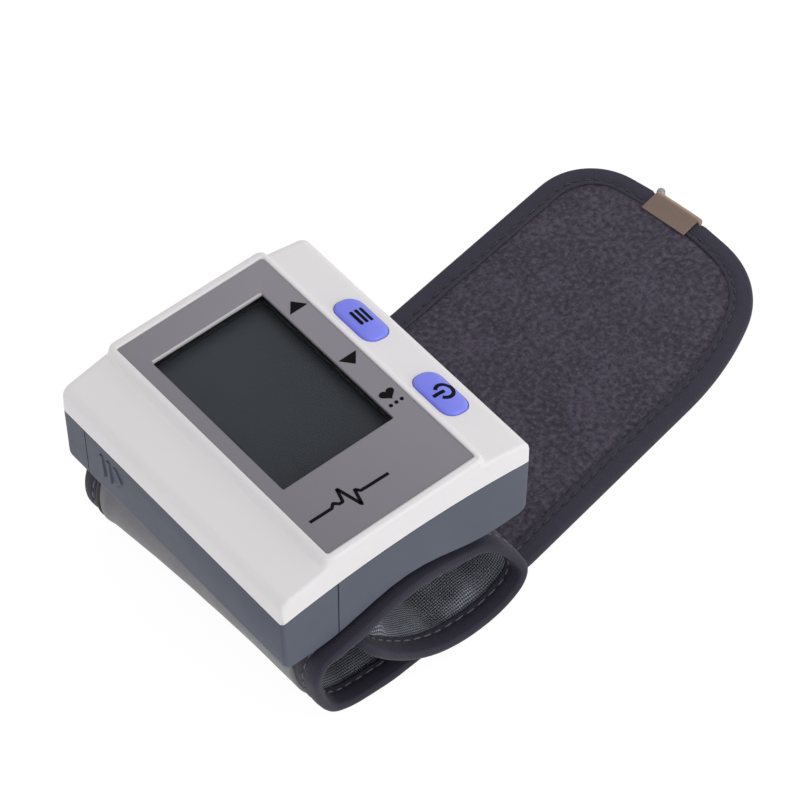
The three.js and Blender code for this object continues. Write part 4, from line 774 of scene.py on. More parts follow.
class MONITOR_OT_display(bpy.types.Operator):
    """Makes the display panel and its printed signs, and gives the lens and the dark display behind it their
    finishes
    """

    bl_idname = "monitor.display"
    bl_label = "Display"

    def execute(self, context):
        size = context.scene.monitor_display
        low, high = node_box("display_panel")
        lens_low, lens_high = node_box("display_lens")
        spread = size.panel_spread / MM
        middle = (low + high) / 2
        width, length = (high - low)[:2] + 2 * spread
        window = (lens_low + lens_high)[:2] / 2
        outer = rounded_outline(width, length, PANEL_ROUND + spread) + middle[:2]
        inner = [
            rounded_outline(WINDOW_WIDTH + 2 * more, WINDOW_LENGTH + 2 * more, WINDOW_ROUND + more) + window
            for more in (0.0, PANEL_BEVEL)]
        inner[1] = inner[1] + np.where(inner[1][:, 1:] > window[1], [0.0, BACK_WALL], 0.0)
        panel = Surface()
        ring_plate(panel, outer, inner, low[2], high[2], PANEL_BEVEL)
        satin = self.panel_material(tuple(size.panel_colour), middle, length)
        # Painted highlight: a pale finish only on the bevel at the window's back, where the edge catches the
        # light
        cut = plastic("window_edge_highlight", tone("c4c2c6"), 0.4, grain=0.000006, scale=4000.0)
        board = panel.piece("printed_panel", [satin, cut], math.radians(25))
        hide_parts("display_panel")
        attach(board, "monitor")

        signs = Surface()
        thick = size.ink_height / MM

        def top(x, y):
            return np.full(np.shape(x), high[2])

        shapes = (
            (triangle() * [4.8, 3.1], (16.8, 20.6)), (triangle() * [4.8, -3.1], (16.6, 1.3)),
            (heart() * [3.9, 3.3], (16.5, -11.2)))
        for outline, place in shapes:
            blob_mark(signs, outline + place, top, thick)
        stroke_mark(signs, along(BEAT, 120), 0.75, top, thick)
        for x in (15.05, 16.55, 18.05):
            blob_mark(signs, rounded_outline(0.9, 0.9, 0.44, 5) + [x, -13.85], top, thick)
        marks = signs.piece("printed_signs", [ink_finish("sign_ink", size.ink_colour)], math.radians(30))
        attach(marks, "monitor")

        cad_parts["lcd_glass"].material_slots[0].material = self.glass_material(
            tuple(size.glass_colour), window[1])
        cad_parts["display_lens"].material_slots[0].material = self.lens_material()
        return {"FINISHED"}

    def panel_material(self, colour, middle, length):
        """Satin printed film with painted light: lighter to the back and to the right, with a very fine
        grain.
        """
        finish = Finish("display_panel_film", specular_ior_level=0.45)
        place = finish.object_place()
        across, lengthwise, _ = finish.split(place)
        front, back = ((middle[1] + side * length / 2) * MM for side in (-1, 1))
        grains = finish.shared(
            "moulded_grain", {"Vector": place, "Scale": 5200.0, "Patch Scale": 60.0})
        share = finish.math(
            "ADD", lengthwise.remap(front, back), (grains["Tone"] - 0.5) * 0.06, clamp=True)
        # Painted light: the film is darker to the front and left and lighter to the back and right, where
        # more light falls
        dark, light = tint(colour, 0.9), tint(colour, 1.04)
        left = finish.mix(share, dark, light)
        right = finish.mix(share, tint(dark, 1.24), tint(light, 1.2))
        finish.set(
            base_color=finish.mix(across.remap(-0.019, 0.017), left, right),
            roughness=grains["Gloss"].remap(0.0, 1.0, 0.34, 0.36))
        finish.bump(grains["Height"], 0.000006)
        return finish.material

    def glass_material(self, colour, window_y):
        """Display that is off: dark polariser film with painted light, lighter to the back, and a painted
        shadow along the window's right edge.
        """
        finish = Finish("display_film", specular_ior_level=0.2)
        place = finish.object_place()
        across, lengthwise, _ = finish.split(place)
        film = finish.noise(place, 60.0, 1.0)
        front, back = (window_y - SHADE_REACH) * MM, (window_y + SHADE_REACH) * MM
        # Painted shade: the film is darker to the front and lighter to the back
        share = finish.math("ADD", lengthwise.remap(front, back), (film - 0.5) * 0.1, clamp=True)
        shade = finish.mix(share, tint(colour, 0.66), tint(colour, 1.04, 1.06, 1.06))
        # Painted shadow: a dark band along the window's right edge, where the panel's edge shades the film
        finish.set(
            base_color=finish.mix(across.remap(0.0095, 0.0132, 0.0, 0.7), shade, tint(colour, 0.25)),
            roughness=film.remap(0.3, 0.7, 0.34, 0.37))
        return finish.material

    def lens_material(self):
        """Clear moulded window that lets the light through to what lies behind it."""
        finish = Finish(
            "clear_window", transmission_weight=1.0, ior=1.08, roughness=0.0, specular_ior_level=0.2)
        haze = finish.noise(finish.object_place(), 40.0)
        finish.set(
            alpha=1.0 - finish.seen_by("Shadow", "Diffuse"),
            base_color=finish.mix(haze, (0.93, 0.94, 0.95), (0.97, 0.98, 0.98)))
        return finish.material


# Keys

FLANK_SLOPE = 2.5 / 12.0
FLANK_FOOT_X = 22.0
FLANK_FOOT_Z = 55.25
KEY_X = 26.95
KEY_WIDTH = 7.1
KEY_LENGTH = 13.7
KEY_ROUND = 2.85
KEY_PROUD = 1.1
# Width and thickness of the flange under the shell
KEY_FLANGE = 0.8
SHELL_WALL = 1.8
SHELL_GAP = 0.3
KEY_INK = 0.08
STEM_RADIUS = 1.5
STEM_TOP = 52.0


def flank_z(x):
    return FLANK_FOOT_Z - FLANK_SLOPE * (x - FLANK_FOOT_X)


def key_rings(y, edge_round, dome, flange_bottom, flange_top):
    """Rings from the flange up the cap wall, round its edge by a quarter circle, and in over the dome.
    Each ring is tilted along the flank; the dome is one minus the square of the share still to go."""
    turn = np.linspace(0, math.pi / 2, 7)
    wall = [(-KEY_FLANGE, flange_bottom), (-KEY_FLANGE, flange_top), (0.0, flange_top)]
    top = KEY_PROUD - dome
    cap = [(edge_round * (1 - math.cos(a)), top - edge_round * (1 - math.sin(a))) for a in turn]
    rings = [rounded_outline(KEY_WIDTH - 2 * i, KEY_LENGTH - 2 * i, KEY_ROUND - i) for i, _ in wall + cap]
    heights = [h for _, h in wall + cap]
    last = rings[-1]
    for share in (0.85, 0.7, 0.5, 0.3, 0.1):
        rings.append(last * share)
        heights.append(top + dome * (1 - share * share))
    flat = np.stack(rings) + [KEY_X, y]
    return with_height(flat, np.array(heights)[:, None] + flank_z(flat[..., 0]))


def key_top(y, edge_round, dome):
    """Height of a key's top face: the flank, plus how far the key stands proud, less the dome's fall."""
    def height(x, at_y):
        across = (x - KEY_X) / (KEY_WIDTH / 2 - edge_round)
        lengthwise = (at_y - y) / (KEY_LENGTH / 2 - edge_round)
        fall = np.clip(np.maximum(np.abs(across), np.abs(lengthwise)), 0, 1) ** 2
        return flank_z(x) + KEY_PROUD - dome * fall
    return height


class MONITOR_OT_keys(bpy.types.Operator):
    """Makes the two blue keys with their signs"""

    bl_idname = "monitor.keys"
    bl_label = "Keys"

    def execute(self, context):
        size = context.scene.monitor_keys
        edge, dome = size.edge_round / MM, size.dome / MM
        blue = plastic(
            "blue_key", tuple(size.key_colour), 0.36, grain=0.00001, scale=3000.0, depth=0.02,
            subsurface_weight=0.08, subsurface_scale=0.0008, specular_ior_level=0.45)
        ink = ink_finish("key_ink", context.scene.monitor_display.ink_colour)
        keys = (
            ("memory_button", "memory_key", self.bars), ("power_button", "power_key", self.power_ring))
        for node, body, draw_sign in keys:
            low, high = node_box(node)
            y = (low[1] + high[1]) / 2
            flange_top = -SHELL_WALL * math.hypot(1, FLANK_SLOPE) - SHELL_GAP
            cap = Surface()
            loft(cap, key_rings(y, edge, dome, flange_top - KEY_FLANGE, flange_top))
            stem = Surface()
            round_stem = np.stack([np.cos(circle(24)), np.sin(circle(24))], -1) * STEM_RADIUS
            loft(stem, np.stack([
                with_height(round_stem * share + [KEY_X, y], z)
                for share, z in ((0.9, low[2]), (1.0, low[2] + 0.2), (1.0, STEM_TOP))]))
            signs = Surface()
            draw_sign(signs, y, key_top(y, edge, dome))
            cap_piece = cap.piece(body + "_cap", [blue], math.radians(40))
            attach(cap_piece, body)
            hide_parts(node)
            stem_piece = stem.piece(body + "_stem", [blue], math.radians(40))
            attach(stem_piece, body)
            sign = signs.piece(body + "_sign", [ink], math.radians(30))
            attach(sign, body)
        return {"FINISHED"}

    def bars(self, signs, y, top):
        """Three upright bars."""
        for shift in (-1.35, 0.0, 1.35):
            stripe = rounded_outline(0.8, 4.4, 0.3, 5) + [KEY_X + 0.25 + shift, y + 0.25]
            blob_mark(signs, stripe, top, KEY_INK)

    def power_ring(self, signs, y, top):
        """An open ring with a bar in its gap."""
        turn = np.linspace(math.radians(38), math.radians(322), 60)
        arc = np.stack([np.sin(turn), np.cos(turn)], -1) * 1.98
        for path in (arc, along([(0, 0), (0, 3.1)], 12)):
            stroke_mark(signs, turned(path, KEY_X + 0.7, y - 0.45), 0.85, top, KEY_INK)


# The cuff as one flat cut, rolled up

FOLD_X = 38.0
MIDDLE_Z = 1.5
# Route of the cuff's middle surface from the fold round the wrist space to the flap's end:
# place across, height, front edge and back edge, in millimetres
CUFF_ROUTE = np.array([
    (36.20, 1.50, -33.99, 37.50), (22.00, 1.50, -35.88, 38.10), (8.00, 1.50, -37.35, 38.63),
    (-4.00, 1.50, -38.20, 39.00), (-8.01, 1.60, -38.20, 39.00), (-15.20, 2.20, -38.25, 39.00),
    (-18.75, 3.10, -38.35, 39.00), (-22.10, 4.70, -38.45, 39.00), (-24.10, 6.90, -38.60, 39.00),
    (-25.60, 9.70, -38.80, 39.00), (-26.50, 12.90, -39.05, 39.00), (-26.90, 16.60, -39.30, 39.00),
    (-26.70, 20.40, -39.60, 38.92), (-26.00, 23.20, -39.85, 38.85), (-24.90, 25.30, -39.88, 38.85),
    (-23.00, 26.80, -39.90, 38.77), (-21.00, 28.00, -40.15, 38.70), (-14.01, 29.69, -39.75, 38.70),
    (-6.99, 31.71, -39.55, 38.70), (0.00, 32.60, -39.15, 38.70), (6.80, 31.76, -38.60, 38.70),
    (12.24, 30.23, -38.10, 38.70), (17.00, 28.84, -38.00, 38.70), (20.99, 26.99, -38.20, 38.55),
    (24.61, 23.99, -38.90, 38.48), (27.60, 20.00, -39.40, 38.40), (29.90, 16.00, -40.10, 38.25),
    (30.80, 12.60, -40.90, 38.10), (29.60, 9.40, -41.20, 37.95), (26.90, 7.10, -41.30, 37.80),
    (22.99, 5.49, -41.50, 37.65), (18.00, 4.80, -41.70, 37.50), (12.50, 5.05, -41.90, 37.50),
    (7.00, 6.31, -42.00, 37.50), (2.00, 8.51, -41.93, 37.50), (-2.99, 11.81, -41.83, 37.50),
    (-7.50, 16.00, -41.72, 37.50), (-11.51, 20.60, -41.58, 37.50), (-15.19, 25.41, -41.48, 37.50),
])
# The left curl's lean from its front end to its back end, how far its middle sags towards the wrist,
# and how far the front edge hangs lower, stop by stop along the route
CUFF_BOW = np.zeros((len(CUFF_ROUTE), 3))
CUFF_BOW[4:16, :2] = [
    (0.01, 0.3), (0.025, 0.7), (0.04, 1.1), (0.05, 1.3), (0.055, 1.4), (0.055, 1.4), (0.048, 1.3),
    (0.036, 1.1), (0.018, 0.8), (0.01, 0.5), (0.006, 0.3), (0.004, 0.1)]
CUFF_BOW[14:25, 2] = (0.2, 0.8, 1.5, 2.2, 2.1, 2.3, 2.4, 2.4, 2.1, 1.0, 0.2)
HALF_WIDTH = 38.0
STEPS_PER_STOP = 40
LABEL_TOP_STOP, LABEL_BOTTOM_STOP = 14, 6
HOOK_TOP_STOP, HOOK_BOTTOM_STOP = 24, 28
LABEL_FRONT_Y, LABEL_BACK_Y = -31.8, 33.2
HOOK_HALF = 28.0
# Corners of the tongue beyond the fold, as distance from the fold and place along Y, with their radii
TONGUE_CORNERS = (
    (71.6, -21.39, 84.0), (96.6, -7.19, 24.5), (96.6, 21.52, 24.0), (90.4, 51.1, 16.0))
FLAP_ROUND = 7.0
EDGE_STEP = 0.8
# The widest that the binding's face lies over the middle surface, inwards share by share
TAPE_FACE = 1.42
NOSE_REACH, NOSE_WIDTH, NOSE_HALF = 0.2, 5.0, 1.22
TAB_EDGE_X, TAB_Y = 134.6, 22.3
TAB_TURN = math.radians(7.7)
# How far the cloth and the tape give way under the tab
TAB_PRESS = 0.8


def through(points, steps):
    """Centripetal Catmull-Rom curve: each span is a Hermite cubic whose end slopes follow the neighbours,
    with spans weighed by the square root of their length."""
    full = np.concatenate([[2 * points[0] - points[1]], points, [2 * points[-1] - points[-2]]])
    gap = np.sqrt(np.linalg.norm(np.diff(full, axis=0), axis=1))[:, None]
    p0, p1, p2, p3 = full[:-3], full[1:-2], full[2:-1], full[3:]
    d0, d1, d2 = gap[:-2], gap[1:-1], gap[2:]
    m1 = ((p1 - p0) / d0 - (p2 - p0) / (d0 + d1) + (p2 - p1) / d1) * d1
    m2 = ((p2 - p1) / d1 - (p3 - p1) / (d1 + d2) + (p3 - p2) / d2) * d1
    t = (np.arange(steps) / steps)[None, :, None]
    curve = (
        (2 * t**3 - 3 * t**2 + 1) * p1[:, None] + (t**3 - 2 * t**2 + t) * m1[:, None]
        + (3 * t**2 - 2 * t**3) * p2[:, None] + (t**3 - t**2) * m2[:, None])
    return np.concatenate([curve.reshape(-1, points.shape[1]), points[-1:]])


def bow_shift(y, lean, sag, droop):
    """How far a point of the loop is moved across and up by its lean, sag and droop."""
    return sag * (1 - (y / HALF_WIDTH) ** 2) - lean * y, -droop * smooth_step(-y, 12.0, 36.0)


class Roll:
    """The rolled cuff: q is the distance along it, 0 at the fold, rising to the tip and falling round
    the loop; y is the place along the housing, and h the height over the middle surface, towards
    the wrist."""

    def __init__(self):
        line = through(CUFF_ROUTE[:, :2], STEPS_PER_STOP)
        line[:, 1] = np.maximum(line[:, 1], MIDDLE_Z)
        line = np.concatenate([[[FOLD_X, MIDDLE_Z]], line])
        run = run_along(line)
        self.length = run[-1]
        self.even = np.linspace(0, self.length, 2000)
        self.x, self.z = (np.interp(self.even, run, line[:, k]) for k in (0, 1))
        tx, tz = (smoothed(np.gradient(a), 25, "edge") for a in (self.x, self.z))
        size = np.hypot(tx, tz)
        self.inner_x, self.inner_z = tz / size, -tx / size
        self.stops = np.interp(
            np.arange(len(CUFF_ROUTE)) * STEPS_PER_STOP + 1, np.arange(len(line)), run)
        self.front, self.back = (
            np.interp(self.even, self.stops, CUFF_ROUTE[:, k]) for k in (2, 3))
        self.bow = [np.interp(self.even, self.stops, column) for column in CUFF_BOW.T]

    def place(self, q, y, h):
        """Point at distance q, place y and height h, as an array of X, Y, Z."""
        s = np.maximum(-q, 0)
        x, z, inner_x, inner_z, *bow = (
            np.interp(s, self.even, a)
            for a in (self.x, self.z, self.inner_x, self.inner_z, *self.bow))
        across, up = bow_shift(y, *bow)
        x = x + np.maximum(q, 0) + h * inner_x + across
        return np.stack([x, np.broadcast_to(y, x.shape), z + h * inner_z + up], -1)

    def bowed(self, points):
        """Points inside the loop's cloth, moved as the cloth round them leans, sags and droops."""
        loop = np.nonzero((self.even > self.stops[2]) & (self.even < self.stops[28]))[0]
        apart = np.hypot(points[:, :1] - self.x[loop], points[:, 2:] - self.z[loop])
        near = loop[apart.argmin(1)]
        across, up = bow_shift(points[:, 1], *(a[near] for a in self.bow))
        return points + np.stack([across, 0 * up, up], -1)


roll = Roll()


def round_corner(before, corner, after, radius, steps=24):
    """An arc of the given radius that touches both sides of a corner."""
    a, b = before - corner, after - corner
    a, b = a / np.linalg.norm(a), b / np.linalg.norm(b)
    half = math.acos(np.clip(a @ b, -1, 1)) / 2
    reach = radius / math.tan(half)
    centre = corner + (a + b) / np.linalg.norm(a + b) * radius / math.sin(half)
    start, end = corner + a * reach - centre, corner + b * reach - centre
    turn = math.atan2(start[0] * end[1] - start[1] * end[0], start @ end)
    t = np.linspace(0, turn, steps)[:, None]
    side = np.array([-start[1], start[0]])
    return centre + start * np.cos(t) + side * np.sin(t)


def cuff_outline():
    """The flat cut's edge in q and y, evenly stepped: the front edge from the flap to the fold,
    round the tongue, back along the back edge and across the flap's end."""
    s = np.linspace(roll.length - FLAP_ROUND, 0, 260)
    front, back = (
        np.stack([-s, np.interp(s, roll.even, side)], -1) for side in (roll.front, roll.back))
    back = back[::-1]
    chain = [front[-1], *(np.array(corner[:2]) for corner in TONGUE_CORNERS), back[0]]
    arcs = [
        round_corner(*chain[k:k + 3], corner[2]) for k, corner in enumerate(TONGUE_CORNERS)]
    flap_front, flap_back = (np.array([-roll.length, side[-1]]) for side in (roll.front, roll.back))
    last = round_corner(back[-1], flap_back, flap_front, FLAP_ROUND)
    first = round_corner(flap_back, flap_front, front[0], FLAP_ROUND)
    edge = np.concatenate([front, *arcs, back, last, first])
    edge = edge[np.linalg.norm(np.roll(edge, -1, 0) - edge, axis=1) > 1e-6]
    loop = np.concatenate([edge, edge[:1]])
    run = run_along(loop)
    count = int(round(run[-1] / EDGE_STEP))
    steps = np.arange(count) * run[-1] / count
    return np.stack([smoothed(np.interp(steps, run, loop[:, k]), 9, "wrap") for k in (0, 1)], -1)


outline = cuff_outline()
# Unit directions from the edge into the cloth, smoothed over a few steps
edge_in = leftwards(np.roll(outline, -3, 0) - np.roll(outline, 3, 0))
edge_run = np.arange(len(outline)) * EDGE_STEP


def edge_at(s, distance):
    """Points the given distance inside the edge, at run s along it, as q and y."""
    count = len(outline)
    place = (s / EDGE_STEP) % count

    def at(table, k):
        return np.interp(place, np.arange(count + 1), np.append(table[:, k], table[0, k]))

    return [at(outline, k) + distance * at(edge_in, k) for k in (0, 1)]


def fold_lines(q, y, height):
    """Soft folds across the cuff: bell-shaped ridges at a few places, slightly slanted and uneven."""
    folds = (
        (-roll.length + 17.0, 2.4, 0.9, 0.10), (-roll.length + 30.0, 3.0, -0.7, -0.06),
        (-roll.length + 44.0, 3.6, 0.6, 0.05), (-66.0, 3.0, 0.35, 0.04), (-75.0, 2.2, -0.3, -0.05),
    )
    total = np.zeros(np.shape(q))
    for place, width, share, slant in folds:
        away = q - place - slant * y + 1.2 * lumps(y, y * 0, 14.0, 5)
        total += share * np.exp(-(away / width) ** 2)
    return height * total


def tab_frame(x, y):
    """Places measured from the tab's edge: outwards from the tongue, and along its edge."""
    x, y = x - TAB_EDGE_X, y - TAB_Y
    c, s = math.cos(TAB_TURN), math.sin(TAB_TURN)
    return x * c + y * s, y * c - x * s


def tab_shadow(q, y):
    """1 under the folded tab at the tongue's edge, 0 away from it."""
    out, run = tab_frame(q + FOLD_X, y)
    return smooth_step(out, -8.8, -7.5) * (1 - smooth_step(np.abs(run), 6.7, 8.0))


def cross_fold(piece):
    """Bakes a piece's placement into its mesh."""
    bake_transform(piece)


class MONITOR_OT_cuff(bpy.types.Operator):
    """Makes the padded cuff as one piece from the flap round the loop to the tongue's tip"""

    bl_idname = "monitor.cuff"
    bl_label = "Cuff"

    inset = 1.1
    pile_start = -18.0
    columns = 92
    row_step = 0.85
    # Distance from the edge at which the filling starts and at which it is full
    fill_start, fill_end = 4.4, 8.0
    # Height of each face where it is bound, and how much the filling adds to it
    inner_bound, inner_fill = 0.72, 0.48
    outer_bound, outer_fill = -1.1, 0.25
    highest_fold = 3.5

    def execute(self, context):
        size = context.scene.monitor_cuff
        q, y_front, y_back = self.rows()
        share = np.linspace(0, 1, self.columns)[None, :]
        y = y_front[:, None] * (1 - share) + y_back[:, None] * share
        q = np.broadcast_to(q[:, None], y.shape)
        inner, outer = self.faces(q, y, y_front[:, None], y_back[:, None], size)
        ring_q, ring_y = there_and_back(q, q), there_and_back(y, y)
        points = roll.place(ring_q, ring_y, there_and_back(inner, outer))
        uv = closed(np.stack([ring_q, ring_y], -1))
        row_kind = np.where(q[:-1, 0] > self.pile_start, 0, 1)[:, None]

        def face_kind(r, c):
            return np.where(c < q.shape[1] - 1, row_kind, 2)

        body = Surface()
        body.add(points, capped(points, uv, face_kind))
        pile = pile_cloth(tuple(size.pile_colour))
        lining = woven("mesh_lining", tuple(size.lining_colour), tone("0b0c10"), 0.6, 0.4, 0.0002)
        cloth = woven("outer_cloth", tuple(size.cloth_colour), tone("25242c"), 0.42, 0.5, 0.00008)
        piece = body.piece("padded_cuff", [pile, lining, cloth])
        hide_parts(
            "cuff_bottom", "cuff_left_curl", "cuff_sleeve", "cuff_right_curl", "cuff_flap",
            "cuff_tongue")
        cross_fold(piece)
        return {"FINISHED"}

    def rows(self):
        """Stops along the cuff from the flap's end to the tip, closer at both ends, with the place of
        the front edge and of the back edge at each, under the binding."""
        rim = outline + edge_in * self.inset
        tip = int(np.argmax(rim[:, 0]))
        off_end = rim[:, 0] > -roll.length + self.inset + 0.05
        tail = int(np.argmin(np.abs(rim[:, 1]) + 1e3 * off_end))
        order = np.roll(np.arange(len(rim)), -tail)
        cut = int(np.where(order == tip)[0][0])
        front, back = rim[order[:cut + 1]], rim[np.concatenate([order[cut:], order[:1]])][::-1]
        low, high = rim[tail, 0] + 0.02, rim[tip, 0] - 0.02
        ramp = 1.2 * (1 - np.cos(np.linspace(0, math.pi / 2, 9)))
        q = np.concatenate([low + ramp, np.arange(low + 1.6, high - 1.6, self.row_step), high - ramp[::-1]])

        def rising(side):
            return np.maximum.accumulate(side[:, 0] + 1e-6 * np.arange(len(side)))

        return q, *(np.interp(q, rising(side), side[:, 1]) for side in (front, back))

    def faces(self, q, y, y_front, y_back, size):
        """Heights of the inner and outer face over the middle surface: full in the middle,
        drawn in under the binding, with unevenness, and flat underneath where it lies down."""
        from_edge = np.minimum(y - y_front, y_back - y)
        from_edge = np.minimum(from_edge, np.minimum(96.3 - q, q + roll.length - 1.0))
        full = smooth_step(from_edge, self.fill_start, self.fill_end)
        pile = smooth_step(q, self.pile_start - 4.0, self.pile_start + 4.0)
        uneven = 0.6 * lumps(q, y, 7.0, 1) + 0.4 * lumps(q, y, 2.6, 2)
        folds = fold_lines(q, y, size.crease_height / MM)
        inner = self.inner_bound + full * (self.inner_fill + pile * uneven * size.pile_height / MM)
        inner = inner + full * folds * (1 - pile)
        flat = smooth_step(q, -40.0, -30.0)
        flap = 1 - smooth_step(q, -roll.length + 60.0, -roll.length + 75.0)
        outer = self.outer_bound - full * self.outer_fill + full * flap * folds * 0.6
        outer = outer + full * (1 - flat) * (1 - flap) * 0.15 * uneven
        outer = np.maximum(outer, -TAPE_FACE) + TAB_PRESS * tab_shadow(q, y)
        return np.minimum(inner, self.highest_fold), outer


class MONITOR_OT_binding(bpy.types.Operator):
    """Sews the binding tape round the whole edge of the cuff"""

    bl_idname = "monitor.binding"
    bl_label = "Binding and stitches"

    groove = 0.77
    thread_radius = 0.2
    # Height of a stitch's middle over the cuff's middle surface, and the most that it has underneath
    stitch_height = 1.2
    deepest_stitch = 1.45

    def execute(self, context):
        size = context.scene.monitor_cuff
        s = edge_run
        q, y = outline.T
        broad = np.maximum(smooth_step(q, -12, 6), smooth_step(-y, -8, 8))
        width = (size.loop_tape + (size.tongue_tape - size.loop_tape) * broad) / MM
        width = width + 0.12 * lumps(s, s * 0, 9.0, 3)
        inwards, height, puckers = self.profile().T
        d = np.where(inwards <= NOSE_REACH, inwards * NOSE_WIDTH, inwards * width[:, None])
        pucker = 0.06 * np.sin(2 * math.pi * s / (size.stitch_pitch / MM))
        lift = lumps(s, s * 0 + 7, 16.0, 4) * 0.08
        h = (height + (pucker + lift)[:, None] * puckers) * self.fullness(q, y)[:, None]
        d = d + tab_shadow(q, y)[:, None] * np.clip(1 - d / 4.0, 0, 1)
        q, y = outline.T[:, :, None] + edge_in.T[:, :, None] * d
        h = np.where(h < 0, h + TAB_PRESS * tab_shadow(q, y), h)
        points = roll.place(q, y, h)
        reach = run_along(np.stack([inwards * NOSE_WIDTH, height], -1))
        reach = np.append(reach, reach[-1] + 1.0)
        uv = lattice(np.append(s, s[-1] + EDGE_STEP), reach)
        tape = Surface()
        tape.add(points, [grid(points, uv, wrap_rows=True, wrap_cols=True)])
        material = binding(tuple(size.tape_colour), float(reach[-1]))
        piece = tape.piece("binding_tape", [material])
        cross_fold(piece)
        self.stitches(size, s[-1] + EDGE_STEP, width)
        return {"FINISHED"}

    def fullness(self, q, y):
        """How much thicker the tape is along the front edge of the stretch under the housing."""
        stops = roll.stops
        rise = smooth_step(-q, stops[14], stops[17])
        fall = 1 - smooth_step(-q, stops[21], stops[24])
        return 1 + 0.3 * rise * fall * smooth_step(-y, 20.0, 36.0)

    def profile(self):
        """Half a turn round the edge: share of the width inwards, height, and how far puckers lift it."""
        inner = [
            (0.92, 0.3, 0), (0.98, 0.9, 0), (1.0, 1.2, 0.4), (0.98, 1.36, 0.6),
            (0.91, TAPE_FACE, 1.0), (0.83, 1.32, 0.6), (self.groove, 1.1, 0.2), (0.71, 1.28, 0.6),
            (0.55, 1.4, 0.4), (0.36, 1.36, 0.2)]
        turn = np.linspace(math.pi / 2, -math.pi / 2, 13)
        nose = [(NOSE_REACH * (1 - math.cos(a)), NOSE_HALF * math.sin(a), 0) for a in turn]
        outer = [(a, -b, -c) for a, b, c in inner[::-1]]
        return np.array(inner + nose + outer)

    def stitches(self, size, total, width):
        """Small capsules on both faces, each along the edge and half sunk in the seam's groove."""
        number = int(total / (size.stitch_pitch / MM))
        starts = np.arange(number) * total / number
        span = np.linspace(-0.5, 0.5, 6)
        girth = np.array([0.35, 0.85, 1.0, 1.0, 0.85, 0.35])[:, None] * self.thread_radius
        turn = circle(8)
        jitter = np.random.default_rng(11).uniform(-1, 1, (number, 3))
        length = (size.stitch_length / MM) * (1 + 0.12 * jitter[:, 0, None, None])
        s = starts[:, None, None] + length * span[:, None] + 0 * turn
        slant = 0.1 * jitter[:, 1, None, None] * (1 + span[:, None])
        across = girth * np.cos(turn) + slant
        raised = girth * np.sin(turn) * 0.9
        bow = 0.12 * (1 - (2 * span[:, None]) ** 2)
        broad = np.interp(starts, edge_run, width)[:, None, None]
        q, y = edge_at(s, self.groove * broad + across)
        uv = lattice(span * 2.6, np.append(turn, 2 * math.pi))
        level = self.stitch_height + bow + raised
        under = np.maximum(-level, -self.deepest_stitch) + TAB_PRESS * tab_shadow(q, y)
        sewn = Surface()
        for h in (level, under):
            self.add_capsules(sewn, roll.place(q, y, h * self.fullness(q, y)), uv)
        piece = sewn.piece("binding_stitches", [sewing_thread(tuple(size.thread_colour))])
        cross_fold(piece)

    def add_capsules(self, surface, points, uv):
        """All stitches at once: the faces of one capsule, repeated with shifted point numbers."""
        many, rows, cols = points.shape[:3]
        faces, cloth = (np.concatenate(parts) for parts in list(zip(*capped(points[0], uv)))[:2])
        shift = (np.arange(many) * rows * cols)[:, None, None]
        faces = (faces[None] + shift).reshape(-1, 4)
        surface.add(points, [(faces, np.tile(cloth, (many, 1, 1)), np.zeros(len(faces), int))])


# Label, hook tape and tab

# Height of the underside of the label and the hook tape, just inside the cuff's outer face
SLAB_FLOOR = -1.0
# How far the label's border stands over the middle surface, and how much its field swells over that
LABEL_RISE, LABEL_SWELL = 1.46, 0.14
# Share of the label's thickness that its border keeps
LABEL_RIM = 0.35
HOOK_RISE, HOOK_THICKNESS = 1.75, 0.95
SEAM_RADIUS, SEAM_DROP = 0.5, 1.6


def rolled_slab(surface, q, y, h):
    """A thin slab on the rolled cuff: a grid of q and y between the cuff's face and a height."""
    under = np.full(q.shape, SLAB_FLOOR)
    ring = there_and_back(roll.place(q, y, h), roll.place(q, y, under))
    uv = np.stack([q, y], -1)
    uv = closed(there_and_back(uv, uv))
    surface.add(ring, capped(ring, uv))


